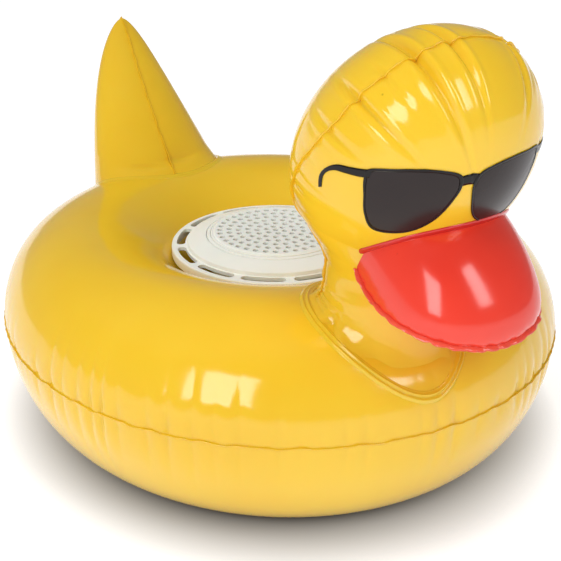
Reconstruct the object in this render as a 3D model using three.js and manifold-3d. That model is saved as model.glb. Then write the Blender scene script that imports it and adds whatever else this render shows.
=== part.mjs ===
// Floating chlorine dispenser: an inflatable duck ring that carries a removable tablet dispenser.
// Units are millimetres and +Z is up. The origin is on the floor under the middle of the ring.
// The duck looks along -Y, and its right side is -X.
import * as THREE from 'three';
import { mergeVertices } from 'three/addons/utils/BufferGeometryUtils.js';
import Module from 'manifold-3d';

const wasm = await Module();
wasm.setup();

// Driving dimensions of the float.
const gap = 0.35;
const vinyl = 0.8;
const seamLip = 3;
const ringHalfWidth = 208;
const ringHalfLength = 222;
const ringHeight = 151;
const seamHeight = 86;
const holeRadius = 62;
const ringSteps = 32;

// Driving dimensions of the duck's head, bill and tail.
const head = { y: -163, z: 246, halfWidth: 77.4, halfDepth: 69.4, halfHeight: 77.1, forwardLean: 0.285 };
const neck = { x: -12, y: -160, halfWidth: 39, flare: 13 };
const bill = { y: -205, z: 192, halfWidth: 62, reach: 59, rise: 29, drop: 14, droop: 34, lip: 4 };
const tail = { x: -23, y: 172, halfWidth: 55, halfDepth: 44, baseHeight: 146, tipHeight: 264, lean: 82.6 };

// Driving dimensions of the dispenser.
const steps = 32;
const rimRadius = 80;
const rimTop = 131;
const slot = { count: 12, inner: 69, outer: 76.3, arc: 25.5 };
const tablet = { radius: 38, height: 25, count: 3, floor: 15.4, gap: 0.4 };
const canister = { bore: 45, outside: 47.5, top: 118.7, floorTop: 15, floorBottom: 12 };
const bayonet = { count: 3, arc: 16, top: 131.6, bottom: 128.4, radius: 53 };
const dosing = { count: 8, width: 9, bottom: 24, top: 60 };

// Finishes.
function finish(color, roughness) {
  return new THREE.MeshStandardMaterial({ color, roughness, metalness: 0 });
}
const yellowVinyl = finish(0xf2c42e, 0.25);
const redVinyl = finish(0xfa4a33, 0.22);
const clearVinyl = finish(0xe8e4c8, 0.3);
const whitePlastic = finish(0xeaf0e6, 0.42);
const greyPlastic = finish(0xc9d2cf, 0.5);
const tabletWhite = finish(0xf7f7f2, 0.85);
const steel = finish(0xb9bdc0, 0.35);

// Solids. A solid is a closed mesh that can be joined and cut.
function toSolid(geometry) {
  const bare = geometry.clone();
  bare.deleteAttribute('normal');
  bare.deleteAttribute('uv');
  const merged = mergeVertices(bare, 1e-3);
  const corners = merged.index.array;
  const kept = [];
  for (let i = 0; i < corners.length; i += 3) {
    const [a, b, c] = [corners[i], corners[i + 1], corners[i + 2]];
    if (a !== b && b !== c && c !== a) kept.push(a, b, c);
  }
  const vertProperties = new Float32Array(merged.attributes.position.array);
  const triVerts = new Uint32Array(kept);
  return new wasm.Manifold(new wasm.Mesh({ numProp: 3, vertProperties, triVerts }));
}

function toGeometry(solid) {
  const mesh = solid.getMesh();
  const geometry = new THREE.BufferGeometry();
  geometry.setAttribute('position', new THREE.Float32BufferAttribute(mesh.vertProperties, 3));
  geometry.setIndex(new THREE.Uint32BufferAttribute(mesh.triVerts, 1));
  return geometry;
}

function subtractAll(solid, cutters) {
  return cutters.reduce((left, cutter) => left.subtract(cutter), solid);
}

// A solid turned about the Z axis from a closed outline of [radius, height] pairs.
function turned(outline, segments = steps) {
  const points = outline.map(([radius, height]) => new THREE.Vector2(radius, height));
  if (THREE.ShapeUtils.area(points) < 0) points.reverse();
  const first = points.findIndex((p, i) => p.x === 0 && points.at(i - 1).x === 0);
  const ordered = first < 0 ? points : [...points.slice(first), ...points.slice(0, first)];
  if (first < 0) ordered.push(ordered[0].clone());
  return toSolid(new THREE.LatheGeometry(ordered, segments).rotateX(Math.PI / 2));
}

function disc(radius, bottom, top, segments = steps) {
  return turned([[0, bottom], [radius, bottom], [radius, top], [0, top]], segments);
}

function tube(inner, outer, bottom, top, segments = steps) {
  return turned([[inner, bottom], [outer, bottom], [outer, top], [inner, top]], segments);
}

// A block of the given size, centred on x and y, standing on z, turned about the Z axis.
function block(sizeX, sizeY, sizeZ, x, y, z, degrees = 0) {
  const box = new THREE.BoxGeometry(sizeX, sizeY, sizeZ).translate(x, y, z + sizeZ / 2);
  return toSolid(box.rotateZ(THREE.MathUtils.degToRad(degrees)));
}

// A stretch of a ring between two radii, from one angle to another, in degrees.
function ringStretch(inner, outer, from, to, bottom, top) {
  const [start, end] = [THREE.MathUtils.degToRad(from), THREE.MathUtils.degToRad(to)];
  const shape = new THREE.Shape();
  shape.absarc(0, 0, outer, start, end, false);
  shape.absarc(0, 0, inner, end, start, true);
  const options = { depth: top - bottom, bevelEnabled: false, curveSegments: 4 };
  return toSolid(new THREE.ExtrudeGeometry(shape, options).translate(0, 0, bottom));
}

function aroundAxis(count, make, startDegrees = 0) {
  return Array.from({ length: count }, (_, i) => make(startDegrees + (360 * i) / count));
}

// A solid whose points are moved by a rule, such as a ring stretched into an oval.
function reshaped(solid, move) {
  const geometry = toGeometry(solid);
  const place = geometry.attributes.position;
  const point = new THREE.Vector3();
  for (let i = 0; i < place.count; i += 1) {
    move(point.fromBufferAttribute(place, i));
    place.setXYZ(i, point.x, point.y, point.z);
  }
  return toSolid(geometry);
}

const model = new THREE.Group();

function addPart(name, solid, material, parent = model) {
  const mesh = new THREE.Mesh(toGeometry(solid), material.clone());
  mesh.name = name;
  parent.add(mesh);
  return mesh;
}

// The ring: two vinyl panels welded at an outer and an inner seam.
const crestRadius = 140;
const bodyWidth = ringHalfWidth - seamLip;

// Stretches everything outside the crest from a circle to the ring's oval.
function toOval(point) {
  const radius = Math.hypot(point.x, point.y);
  if (radius < 90) return;
  const angle = Math.atan2(point.y, point.x);
  const across = Math.cos(angle) / ringHalfWidth;
  const along = Math.sin(angle) / ringHalfLength;
  const stretch = 1 / Math.hypot(across, along) - ringHalfWidth;
  const share = THREE.MathUtils.smoothstep(radius, 90, ringHalfWidth);
  const scale = (radius + stretch * share) / radius;
  point.x *= scale;
  point.y *= scale;
}

// The upper half of the tube's section, from the outer seam over the crest to the hole.
function upperSection(inset) {
  const points = [];
  for (let degrees = 0; degrees <= 180; degrees += 18) {
    const angle = THREE.MathUtils.degToRad(degrees);
    const outside = degrees < 90;
    const reach = outside ? bodyWidth - crestRadius : crestRadius - holeRadius;
    const rise = ringHeight - seamHeight - inset;
    const lift = Math.sin(angle) ** (outside ? 1 : 1.03);
    points.push([crestRadius + (reach - inset) * Math.cos(angle), seamHeight + gap / 2 + rise * lift]);
  }
  return points;
}

// The lower half of the tube's section, with a flat where the ring rests on the floor.
function lowerSection(inset) {
  const points = [];
  const settle = 1.05;
  const flatAngle = THREE.MathUtils.radToDeg(Math.asin(1 / settle));
  for (const degrees of [0, 18, 36, 54, flatAngle, 180 - flatAngle, 126, 144, 162, 180]) {
    const angle = THREE.MathUtils.degToRad(degrees);
    const reach = degrees < 90 ? bodyWidth - crestRadius : crestRadius - holeRadius;
    const drop = Math.min(1, settle * Math.sin(angle)) * (seamHeight - gap / 2 - inset);
    points.push([crestRadius + (reach - inset) * Math.cos(angle), seamHeight - gap / 2 - drop]);
  }
  return points;
}

// A thin panel between an outer and an inner section, with a flat welding lip on both edges.
function ringPanel(section, side) {
  const outer = section(0);
  const inner = section(vinyl).reverse();
  const level = outer[0][1];
  const lipLevel = level + side * vinyl;
  const outerLip = [[bodyWidth, lipLevel], [bodyWidth + seamLip, lipLevel], [bodyWidth + seamLip, level]];
  const innerLip = [[holeRadius - seamLip, level], [holeRadius - seamLip, lipLevel], [holeRadius, lipLevel]];
  const outline = [...outerLip.reverse(), ...outer.slice(1, -1), ...innerLip.reverse(), ...inner];
  return reshaped(turned(outline, ringSteps), toOval);
}

// The whole ring as one filled body, grown by a clearance, for cutting the pieces that stand on it.
function ringBlock(clearance) {
  const upper = upperSection(-clearance);
  const lower = lowerSection(-clearance).slice(1, -1).reverse();
  return reshaped(turned([...upper, ...lower], ringSteps), toOval);
}

const ringCutter = ringBlock(0.6);

// The head and neck: one body of horizontal ovals, later split into a front and a back panel.
function headBody(inset) {
  const bottom = 100;
  const top = head.z + head.halfHeight - inset;
  const outline = [[0, bottom]];
  const levels = 13;
  for (let i = 0; i < levels; i += 1) {
    const rise = Math.sin((i / levels) * (Math.PI / 2)) ** 0.9;
    const z = bottom + (top - bottom) * rise;
    outline.push([headOval(z, inset).halfWidth, z]);
  }
  outline.push([0, top]);
  return reshaped(turned(outline, 24), (point) => {
    const oval = headOval(point.z, inset);
    point.x += oval.x;
    point.y = oval.y + (point.y * oval.halfDepth) / oval.halfWidth;
  });
}

// The oval of the head and neck at one height: the neck flares at its foot and swells into the head.
function headOval(z, inset) {
  const height = (z - head.z) / (head.halfHeight - inset);
  const swell = Math.sqrt(Math.max(0, 1 - height * height));
  const above = THREE.MathUtils.smoothstep(z, 180, 235);
  const foot = neck.halfWidth + neck.flare * Math.exp(-Math.max(0, z - 128) / 14);
  const neckShare = z < head.z ? foot - inset : 0;
  const blend = (wide) => (((wide - inset) * swell) ** 6 + neckShare ** 6) ** (1 / 6);
  return {
    halfWidth: Math.max(0.05, blend(head.halfWidth)),
    halfDepth: Math.max(0.05, blend(head.halfDepth)),
    x: neck.x * (1 - above),
    y: THREE.MathUtils.lerp(neck.y, head.y - head.forwardLean * (z - head.z), above),
  };
}

// Everything in front of the seam that runs up the sides of the neck and forward over the crown.
function frontOfSeam(shift) {
  const seam = [[-162, 60], [-158, 150], [-152, 190], [-156, 235], [-172, 275], [-196, 308], [-226, 345]];
  const outline = new THREE.Shape();
  outline.moveTo(-330, 60);
  seam.forEach(([y, z]) => outline.lineTo(y + shift, z));
  outline.lineTo(-330, 345);
  const slab = new THREE.ExtrudeGeometry(outline, { depth: 240, bevelEnabled: false });
  return toSolid(slab.rotateX(Math.PI / 2).rotateZ(Math.PI / 2).translate(-120, 0, 0));
}

// Valves: a welded stem with a check flap inside the chamber and a push-in plug.
const valve = { flange: 12, stem: 5, bore: 3.3, sink: 9, proud: 6 };

function valveGroup(point, outward) {
  const group = new THREE.Group();
  group.position.copy(point);
  group.quaternion.setFromUnitVectors(new THREE.Vector3(0, 0, 1), outward.clone().normalize());
  group.updateMatrix();
  model.add(group);
  return group;
}

function valveHole(group) {
  const hole = toGeometry(disc(valve.stem + 0.5, -valve.sink, valve.proud, 16));
  return toSolid(hole.applyMatrix4(group.matrix));
}

function addValve(name, group) {
  const { flange, stem, bore, sink, proud } = valve;
  const outline = [
    [bore, -sink], [stem, -sink], [stem, 0.3], [flange, 0.3], [flange, 1.1], [stem, 1.6], [stem, proud], [bore, proud],
  ];
  addPart(`${name}_valve_stem`, turned(outline, 16), clearVinyl, group);
  addPart(`${name}_valve_flap`, disc(stem - 0.6, -sink - 1.1, -sink - 0.5, 12), clearVinyl, group);
  const plug = disc(bore - gap, -1, proud + 0.5, 12).add(disc(stem + 1, proud + 0.4, proud + 2.2, 16));
  addPart(`${name}_valve_plug`, plug, clearVinyl, group);
}

// The ring's valve sits on the outer slope of the left rear quarter.
function ringValvePlace(planDegrees, sectionDegrees) {
  const [plan, section] = [THREE.MathUtils.degToRad(planDegrees), THREE.MathUtils.degToRad(sectionDegrees)];
  const reach = bodyWidth - crestRadius;
  const radius = crestRadius + reach * Math.cos(section);
  const height = seamHeight + (ringHeight - seamHeight) * Math.sin(section);
  const point = new THREE.Vector3(radius * Math.cos(plan), radius * Math.sin(plan), height);
  toOval(point);
  const level = Math.cos(section);
  return valveGroup(point, new THREE.Vector3(level * Math.cos(plan), level * Math.sin(plan), Math.sin(section)));
}

// The head's valve sits low on the left of the back panel.
function headValvePlace(planDegrees, z) {
  const plan = THREE.MathUtils.degToRad(planDegrees);
  const oval = headOval(z, 0);
  const [across, along] = [Math.cos(plan), Math.sin(plan)];
  const point = new THREE.Vector3(oval.x + oval.halfWidth * across, oval.y + oval.halfDepth * along, z);
  return valveGroup(point, new THREE.Vector3(across / oval.halfWidth, along / oval.halfDepth, 0));
}

const ringValve = ringValvePlace(40, 36);
const headValve = headValvePlace(22, 238);

function addRing() {
  const upper = ringPanel(upperSection, 1).subtract(valveHole(ringValve));
  addPart('ring_upper_panel', upper, yellowVinyl);
  addPart('ring_lower_panel', ringPanel(lowerSection, -1), yellowVinyl);
}

function addHead() {
  const skin = subtractAll(headBody(0).subtract(headBody(vinyl)), [ringCutter]);
  const front = skin.intersect(frontOfSeam(-gap / 2));
  const back = skin.subtract(frontOfSeam(gap / 2)).subtract(valveHole(headValve));
  addPart('head_front_panel', front, yellowVinyl);
  addPart('head_back_panel', back, yellowVinyl);
}

// The bill: a shallow lower cushion under a fuller upper one, joined at a drooping rim.
function billHalf(height, lipLevel) {
  const sphere = new THREE.SphereGeometry(1, 24, 12).rotateX(Math.PI / 2);
  const outer = toSolid(sphere.clone().scale(bill.halfWidth, bill.reach, height));
  const thin = 1 - vinyl / height;
  const inner = toSolid(sphere.clone().scale(bill.halfWidth - vinyl, bill.reach - vinyl, height * thin));
  const lip = turned([[0, lipLevel - 0.4], [1, lipLevel - 0.4], [1, lipLevel + 0.4], [0, lipLevel + 0.4]], 24);
  const rim = reshaped(lip, (point) => {
    point.x *= bill.halfWidth + bill.lip;
    point.y *= bill.reach + bill.lip;
  });
  return outer.add(rim).subtract(inner);
}

function addBill() {
  const tilt = THREE.MathUtils.degToRad(bill.droop);
  const behind = headBody(-gap);
  const place = (solid) => {
    const geometry = toGeometry(solid).rotateX(tilt).translate(0, bill.y, bill.z);
    const cut = toSolid(geometry).subtract(behind);
    return cut.intersect(block(200, 120, 140, 0, bill.y - 35, 120));
  };
  const upperSide = block(200, 200, 100, 0, 0, gap / 2);
  const lowerSide = block(200, 200, 100, 0, 0, -100 - gap / 2);
  const upper = billHalf(bill.rise, gap / 2 + 0.4).intersect(upperSide);
  const lower = billHalf(bill.drop, -gap / 2 - 0.4).intersect(lowerSide);
  addPart('bill_upper_panel', place(upper), redVinyl);
  addPart('bill_lower_panel', place(lower), redVinyl);
}

// The tail: a horn of ovals leaning back, split down its middle into a right and a left panel.
function tailBody(inset) {
  const bottom = 100;
  const top = tail.tipHeight - inset * 2;
  const levels = 9;
  const outline = [[0, bottom], [tailOval(bottom, top, inset).halfWidth, bottom]];
  for (let i = 0; i < levels; i += 1) {
    const z = tail.baseHeight + (top - tail.baseHeight) * Math.sin((i / levels) * (Math.PI / 2));
    outline.push([tailOval(z, top, inset).halfWidth, z]);
  }
  outline.push([0, top]);
  return reshaped(turned(outline, 20), (point) => {
    const oval = tailOval(point.z, top, inset);
    point.x += tail.x;
    point.y = oval.y + (point.y * oval.halfDepth) / oval.halfWidth;
  });
}

function tailOval(z, top, inset) {
  const rise = THREE.MathUtils.clamp((z - tail.baseHeight) / (top - tail.baseHeight), 0, 0.9999);
  const taper = (1 - rise) ** 0.62;
  return {
    halfWidth: Math.max(0.05, tail.halfWidth * taper - inset),
    halfDepth: Math.max(0.05, tail.halfDepth * taper - inset),
    y: tail.y + tail.lean * rise,
  };
}

function addTail() {
  const skin = tailBody(0).subtract(tailBody(vinyl)).subtract(ringCutter);
  const side = 150;
  const rightSide = block(side, 260, 220, tail.x - side / 2 - gap / 2, tail.y, 90);
  const leftSide = block(side, 260, 220, tail.x + side / 2 + gap / 2, tail.y, 90);
  addPart('tail_right_panel', skin.intersect(rightSide), yellowVinyl);
  addPart('tail_left_panel', skin.intersect(leftSide), yellowVinyl);
}

// The dispenser's flange rests on the ring. Its slots let water drain back into the hole.
function flangeBody() {
  const outline = [
    [46.2, 119], [55.6, 119], [57.2, 128], [74, 126.2], [75.2, 124.8], [77.6, 124.8], [rimRadius, 130.2],
    [79.3, rimTop], [68.3, rimTop], [67.6, 133.8], [53.45, 138], [53.45, 135.2], [51.2, 135.2], [51.2, 132],
    [53.6, 132], [53.6, 121.5], [46.2, 121.5],
  ];
  const lip = turned(outline);
  const slots = aroundAxis(slot.count, (degrees) => {
    const half = slot.arc / 2;
    return ringStretch(slot.inner, slot.outer, degrees - half, degrees + half, 120, 140);
  }, 23);
  const notches = aroundAxis(bayonet.count, (degrees) => {
    const half = bayonet.arc / 2 + 1.5;
    return ringStretch(50, bayonet.radius + 0.25, degrees - half, degrees + half, 131, 136);
  });
  return subtractAll(lip, [...slots, ...notches, ...screwRow(flangeScrew, 0.5)]);
}

// Screws: a round head with a plain shank, in a row round the axis.
const flangeScrew = { radius: 51, count: 4, head: 2.7, shank: 1.4, headBottom: 114, seat: 116.1, tip: 121 };
const capScrew = { radius: 34, count: 4, head: 3.6, shank: 1.8, headBottom: 3.4, seat: 5.6, tip: 14.4 };

function screwRow(screw, clearance) {
  const { head: headRadius, shank, headBottom, seat, tip } = screw;
  const outline = [
    [0, headBottom], [headRadius + clearance, headBottom], [headRadius + clearance, seat],
    [shank + clearance, seat], [shank + clearance, tip + 2 * clearance], [0, tip + 2 * clearance],
  ];
  const geometry = toGeometry(turned(outline, 8)).translate(screw.radius, 0, 0);
  const one = (degrees) => toSolid(geometry.clone().rotateZ(THREE.MathUtils.degToRad(degrees)));
  return aroundAxis(screw.count, one, 45);
}

function addScrews(name, screw) {
  screwRow(screw, 0).forEach((solid, i) => addPart(`${name}_${i + 1}`, solid, steel));
}

function joined(solids) {
  return solids.reduce((left, right) => left.add(right));
}

// The canister hangs from the flange and holds the tablets. Water enters through slots near its floor.
function dosingSlots(inner, outer, bottom, top) {
  const middle = (inner + outer) / 2;
  return aroundAxis(dosing.count, (degrees) => {
    return block(outer - inner + 4, dosing.width, top - bottom, middle, 0, bottom, degrees);
  }, 22.5);
}

function canisterBody() {
  const { bore, outside, top, floorTop, floorBottom } = canister;
  const outline = [
    [0, floorBottom], [outside, floorBottom], [outside, 66.4], [50.4, 66.4], [50.4, 68.4], [outside, 71],
    [outside, 116.4], [54.9, 116.4], [54.9, top], [bore, top], [bore, floorTop], [0, floorTop],
  ];
  const cuts = [
    ...dosingSlots(bore, outside, dosing.bottom, dosing.top),
    ...screwRow(flangeScrew, 0.5),
    ...screwRow(capScrew, 0.5),
  ];
  return subtractAll(turned(outline), cuts);
}

// The dosing collar turns round the canister and covers more or less of its slots.
function dosingCollar() {
  const ribs = aroundAxis(16, (degrees) => block(2.4, 3, 46, 50.6, 0, 14, degrees));
  const sleeve = tube(47.9, 50.4, 9.6, 66);
  return subtractAll(joined([sleeve, ...ribs]), dosingSlots(47, 53, dosing.bottom, dosing.top));
}

// The bottom cap keeps the collar on, and is screwed to the canister's floor.
function bottomCap() {
  const plate = turned([[0, 5.9], [50.2, 5.9], [51, 6.7], [51, 9.2], [44, 9.2], [44, 11.6], [0, 11.6]]);
  const drains = aroundAxis(6, (degrees) => block(20, 6, 8, 20, 0, 5, degrees), 15);
  return subtractAll(plate, [...drains, ...screwRow(capScrew, 0.5)]);
}

function tabletAt(index) {
  const bottom = tablet.floor + index * (tablet.height + tablet.gap);
  const top = bottom + tablet.height;
  const edge = 2;
  const outline = [
    [0, bottom], [tablet.radius - edge, bottom], [tablet.radius, bottom + edge],
    [tablet.radius, top - edge], [tablet.radius - edge, top], [0, top],
  ];
  return turned(outline, 24);
}

// The lid: a perforated disc with a skirt. The lock ring turns under its rim.
function perforatedLid() {
  const outline = [
    [0, 137.6], [46.6, 137.6], [46.6, 123.6], [49.9, 123.6], [49.9, 125.2], [48.6, 126], [48.6, 136.9],
    [50.05, 136.9], [50.05, 139.1], [47, 140], [0, 140],
  ];
  const holes = [];
  const pitch = 10.3;
  for (let row = 0; row <= 4; row += 1) {
    const spots = Math.max(1, 6 * row);
    const hole = () => new THREE.CylinderGeometry(2.3, 2.3, 6, 6).rotateX(Math.PI / 2);
    const cut = (degrees) => {
      const geometry = hole().translate(row * pitch, 0, 138.8);
      return toSolid(geometry.rotateZ(THREE.MathUtils.degToRad(degrees)));
    };
    holes.push(...aroundAxis(spots, cut));
  }
  return subtractAll(turned(outline), holes);
}

function lockRing() {
  const outline = [
    [49, 126.4], [50.8, 126.4], [50.8, 135.6], [53, 135.6], [53, 138.1], [50.4, 138.8],
    [50.4, 136.5], [49, 136.5],
  ];
  const lugs = aroundAxis(bayonet.count, (degrees) => {
    const half = bayonet.arc / 2;
    return ringStretch(50, bayonet.radius, degrees - half, degrees + half, bayonet.bottom, bayonet.top);
  });
  return joined([turned(outline), ...lugs]);
}

function addDispenser() {
  addPart('flange_body', flangeBody(), whitePlastic);
  addScrews('flange_screw', flangeScrew);
  addPart('canister', canisterBody(), whitePlastic);
  addPart('dosing_collar', dosingCollar(), greyPlastic);
  addPart('bottom_cap', bottomCap(), greyPlastic);
  addScrews('cap_screw', capScrew);
  for (let i = 0; i < tablet.count; i += 1) addPart(`tablet_${i + 1}`, tabletAt(i), tabletWhite);
  addPart('perforated_lid', perforatedLid(), whitePlastic);
  addPart('lock_ring', lockRing(), whitePlastic);
}

addRing();
addHead();
addBill();
addTail();
addValve('ring', ringValve);
addValve('head', headValve);
addDispenser();

export default model;
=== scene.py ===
"""Looks for an inflatable duck float that carries a tablet dispenser for pool water."""

import logging
import math
from dataclasses import dataclass, field
from enum import Enum
from typing import Callable, ClassVar, Iterable, Sequence

import bmesh
import bpy
from mathutils import Matrix, Vector


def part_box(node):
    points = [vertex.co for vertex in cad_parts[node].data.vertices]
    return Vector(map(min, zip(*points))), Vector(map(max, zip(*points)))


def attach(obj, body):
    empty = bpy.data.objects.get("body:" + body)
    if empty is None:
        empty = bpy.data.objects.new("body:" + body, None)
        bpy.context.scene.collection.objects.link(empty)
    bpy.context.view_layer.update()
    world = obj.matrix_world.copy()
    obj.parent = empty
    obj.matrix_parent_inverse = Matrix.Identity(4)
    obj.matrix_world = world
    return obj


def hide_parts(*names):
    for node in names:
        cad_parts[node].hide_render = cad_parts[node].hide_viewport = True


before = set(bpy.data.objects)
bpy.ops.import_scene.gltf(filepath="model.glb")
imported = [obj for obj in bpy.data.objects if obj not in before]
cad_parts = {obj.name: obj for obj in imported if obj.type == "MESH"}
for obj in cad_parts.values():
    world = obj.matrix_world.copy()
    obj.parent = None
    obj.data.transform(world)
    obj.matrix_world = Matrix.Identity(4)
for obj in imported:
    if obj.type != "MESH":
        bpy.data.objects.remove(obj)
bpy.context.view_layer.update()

MM = 0.001
FULL_TURN = 2.0 * math.pi

logging.basicConfig(level=logging.INFO, format="%(name)s: %(message)s")
log = logging.getLogger("duck_float")

Outline = Sequence[tuple[float, float]]
Colour = tuple[float, float, float]

WELD_WALL = 0.5
BEAD_WALL = 0.4
PRINT_WALL = 0.15


class Body(Enum):
    """The moving bodies of the frame."""

    FLOAT = "float"
    DISPENSER = "dispenser"
    SLEEVE = "dosing_sleeve"
    LID = "lid"
    LOCK = "lid_lock"
    RING_PLUG = "ring_plug"
    HEAD_PLUG = "head_plug"


class Slot(Enum):
    """The record's material slots."""

    YELLOW = "yellow_vinyl"
    RED = "red_vinyl"
    CLEAR = "clear_vinyl"
    WHITE = "white_plastic"
    GREY = "grey_plastic"
    TABLET = "pressed_tablet"


def span(value: float, low: float, high: float) -> float:
    """Returns how far a value lies on the way from low to high, as a share."""
    return (value - low) / (high - low)


def smoothstep(value: float, low: float, high: float) -> float:
    """Returns 0 below low, 1 above high and a smooth ramp between."""
    share = min(1.0, max(0.0, span(value, low, high)))
    return share * share * (3.0 - 2.0 * share)


def mix(first: float, second: float, share: float) -> float:
    """Returns the value that lies share of the way from first to second."""
    return first + (second - first) * share


def wave(turns: float, phase: float = 0.0) -> float:
    """Returns a sine wave for a number of turns."""
    return math.sin(FULL_TURN * turns + phase)


def hump(distance: float, width: float, power: float = 2.0) -> float:
    """Returns 1 in the middle of a rounded hump, and less the further away from it."""
    return math.exp(-((abs(distance) / width) ** power))


def gathers(phase: float, sharpness: float = 0.6) -> float:
    """Returns the depth of a row of gathers, 1 in each valley and 0 on the rolls between."""
    return 1.0 - abs(math.sin(phase)) ** sharpness


def spline(knots: Sequence[Sequence[float]], t: float) -> list[float]:
    """Follows a smooth curve through four knots, from the second to the third.

    Args:
        knots: Four neighbouring knots with the same number of values each.
        t: Share of the way from the second knot to the third.

    Returns:
        The values at that share.
    """
    return [
        0.5 * (2 * b + (c - a) * t + (2 * a - 5 * b + 4 * c - d) * t * t + (3 * b - a - 3 * c + d) * t**3)
        for a, b, c, d in zip(*knots)
    ]


def bowed(start: Vector, pull: Vector, end: Vector, t: float) -> Vector:
    """Returns a point of the curve from start to end that a third point pulls towards it."""
    return start * (1 - t) ** 2 + pull * 2 * t * (1 - t) + end * t * t


def polar(radius: float, angle: float, height: float = 0.0) -> Vector:
    """Returns the point at a distance from the axis, an angle in radians and a height."""
    return Vector((radius * math.cos(angle), radius * math.sin(angle), height))


def halved(low: float, high: float, steps: int, beyond: Callable[[float], bool]) -> float:
    """Closes in on the value at which a test turns false.

    Args:
        low: A value for which the test holds.
        high: A value for which it does not.
        steps: Number of halvings.
        beyond: Says whether the sought value lies further on.

    Returns:
        The last middle that was tried.
    """
    middle = low
    for _ in range(steps):
        middle = (low + high) / 2.0
        if beyond(middle):
            low = middle
        else:
            high = middle
    return middle


def corners(node: str) -> tuple[Vector, Vector]:
    """Returns a node's lowest and highest corners at rest, in millimetres."""
    low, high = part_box(node)
    return Vector(low) / MM, Vector(high) / MM


# ---------------------------------------------------------------------------
# Making meshes
# ---------------------------------------------------------------------------


def turned(outline: Outline, segments: int = 160) -> bmesh.types.BMesh:
    """Turns an outline round the vertical axis.

    Args:
        outline: Radius and height of each corner, in millimetres.
        segments: Number of steps in the full turn.

    Returns:
        A closed mesh with its faces outwards.
    """
    shape = bmesh.new()
    points = [shape.verts.new((radius, 0.0, height)) for radius, height in outline]
    pairs = list(zip(points, points[1:]))
    if outline[0][0] > 0.0 or outline[-1][0] > 0.0:
        pairs.append((points[-1], points[0]))
    edges = [shape.edges.new(pair) for pair in pairs]
    bmesh.ops.spin(
        shape,
        geom=points + edges,
        cent=(0.0, 0.0, 0.0),
        axis=(0.0, 0.0, 1.0),
        angle=FULL_TURN,
        steps=segments,
        use_merge=True,
    )
    bmesh.ops.remove_doubles(shape, verts=shape.verts, dist=0.001)
    bmesh.ops.recalc_face_normals(shape, faces=shape.faces)
    return shape


def eased(outline: Outline, radius: float = 0.3, steps: int = 2) -> list[tuple[float, float]]:
    """Rounds the corners of an outline, as a mould does.

    Args:
        outline: Radius and height of each corner.
        radius: How far a corner's round reaches along its edges.
        steps: Number of stretches in each round.

    Returns:
        The outline with each corner off the axis replaced by a short curve.
    """
    count = len(outline)
    eased_points: list[tuple[float, float]] = []
    for index, corner in enumerate(outline):
        here = Vector(corner)
        if corner[0] <= 0.0:
            eased_points.append(corner)
            continue
        before = Vector(outline[index - 1]) - here
        after = Vector(outline[(index + 1) % count]) - here
        reach = min(radius, 0.45 * before.length, 0.45 * after.length)
        start = here + before.normalized() * reach
        end = here + after.normalized() * reach
        for step in range(steps + 1):
            point = bowed(start, here, end, step / steps)
            eased_points.append((point.x, point.y))
    return eased_points


def skin(
    columns: int, rows: int, place: Callable[[float, float], Vector], join: bool = True
) -> bmesh.types.BMesh:
    """Lays a grid over a soft surface.

    Args:
        columns: Number of steps round the surface.
        rows: Number of steps along the surface.
        place: Gives the point for a share round and a share along, each from 0 to 1.
        join: Whether edges and poles that meet are merged.

    Returns:
        The mesh, in millimetres.
    """
    sheet = bmesh.new()
    bmesh.ops.create_grid(sheet, x_segments=columns, y_segments=rows, size=1.0)
    for point in sheet.verts:
        point.co = place((point.co.x + 1.0) / 2.0, (point.co.y + 1.0) / 2.0)
    if join:
        bmesh.ops.remove_doubles(sheet, verts=sheet.verts, dist=0.01)
    bmesh.ops.recalc_face_normals(sheet, faces=sheet.faces)
    return sheet


def thickened(sheet: bmesh.types.BMesh, thickness: float) -> bmesh.types.BMesh:
    """Gives a sheet a wall, so that it becomes a closed body."""
    bmesh.ops.solidify(sheet, geom=sheet.faces[:], thickness=thickness)
    bmesh.ops.recalc_face_normals(sheet, faces=sheet.faces)
    return sheet


def linked(name: str, data: bpy.types.ID) -> bpy.types.Object:
    """Adds an object with the given data to the scene."""
    thing = bpy.data.objects.new(name, data)
    bpy.context.scene.collection.objects.link(thing)
    return thing


def as_object(shape: bmesh.types.BMesh, name: str, scale: float = 1.0) -> bpy.types.Object:
    """Puts a mesh into the scene as an object at the origin."""
    if scale != 1.0:
        bmesh.ops.scale(shape, vec=(scale, scale, scale), verts=shape.verts)
    mesh = bpy.data.meshes.new(name)
    shape.to_mesh(mesh)
    shape.free()
    return linked(name, mesh)


def carved(shape: bmesh.types.BMesh, *cutters: bmesh.types.BMesh) -> bmesh.types.BMesh:
    """Cuts closed meshes away from another, one after the other.

    Args:
        shape: The mesh that is cut.
        cutters: The meshes that are taken away.

    Returns:
        What remains, as a new mesh.
    """
    for cutter in cutters:
        blank = as_object(shape, "blank")
        tool = as_object(cutter, "tool")
        cut = blank.modifiers.new("cut", "BOOLEAN")
        cut.operation = "DIFFERENCE"
        cut.solver = "EXACT"
        cut.object = tool
        finished = blank.evaluated_get(bpy.context.evaluated_depsgraph_get())
        shape = bmesh.new()
        shape.from_mesh(finished.to_mesh())
        finished.to_mesh_clear()
        for spent in (blank, tool):
            mesh = spent.data
            bpy.data.objects.remove(spent)
            bpy.data.meshes.remove(mesh)
        bmesh.ops.dissolve_degenerate(shape, edges=shape.edges, dist=0.0005)
    return shape


def merged(shapes: Iterable[bmesh.types.BMesh]) -> bmesh.types.BMesh:
    """Gathers several meshes into one."""
    whole = bmesh.new()
    for shape in shapes:
        passing = bpy.data.meshes.new("passing")
        shape.to_mesh(passing)
        shape.free()
        whole.from_mesh(passing)
        bpy.data.meshes.remove(passing)
    return whole


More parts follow.
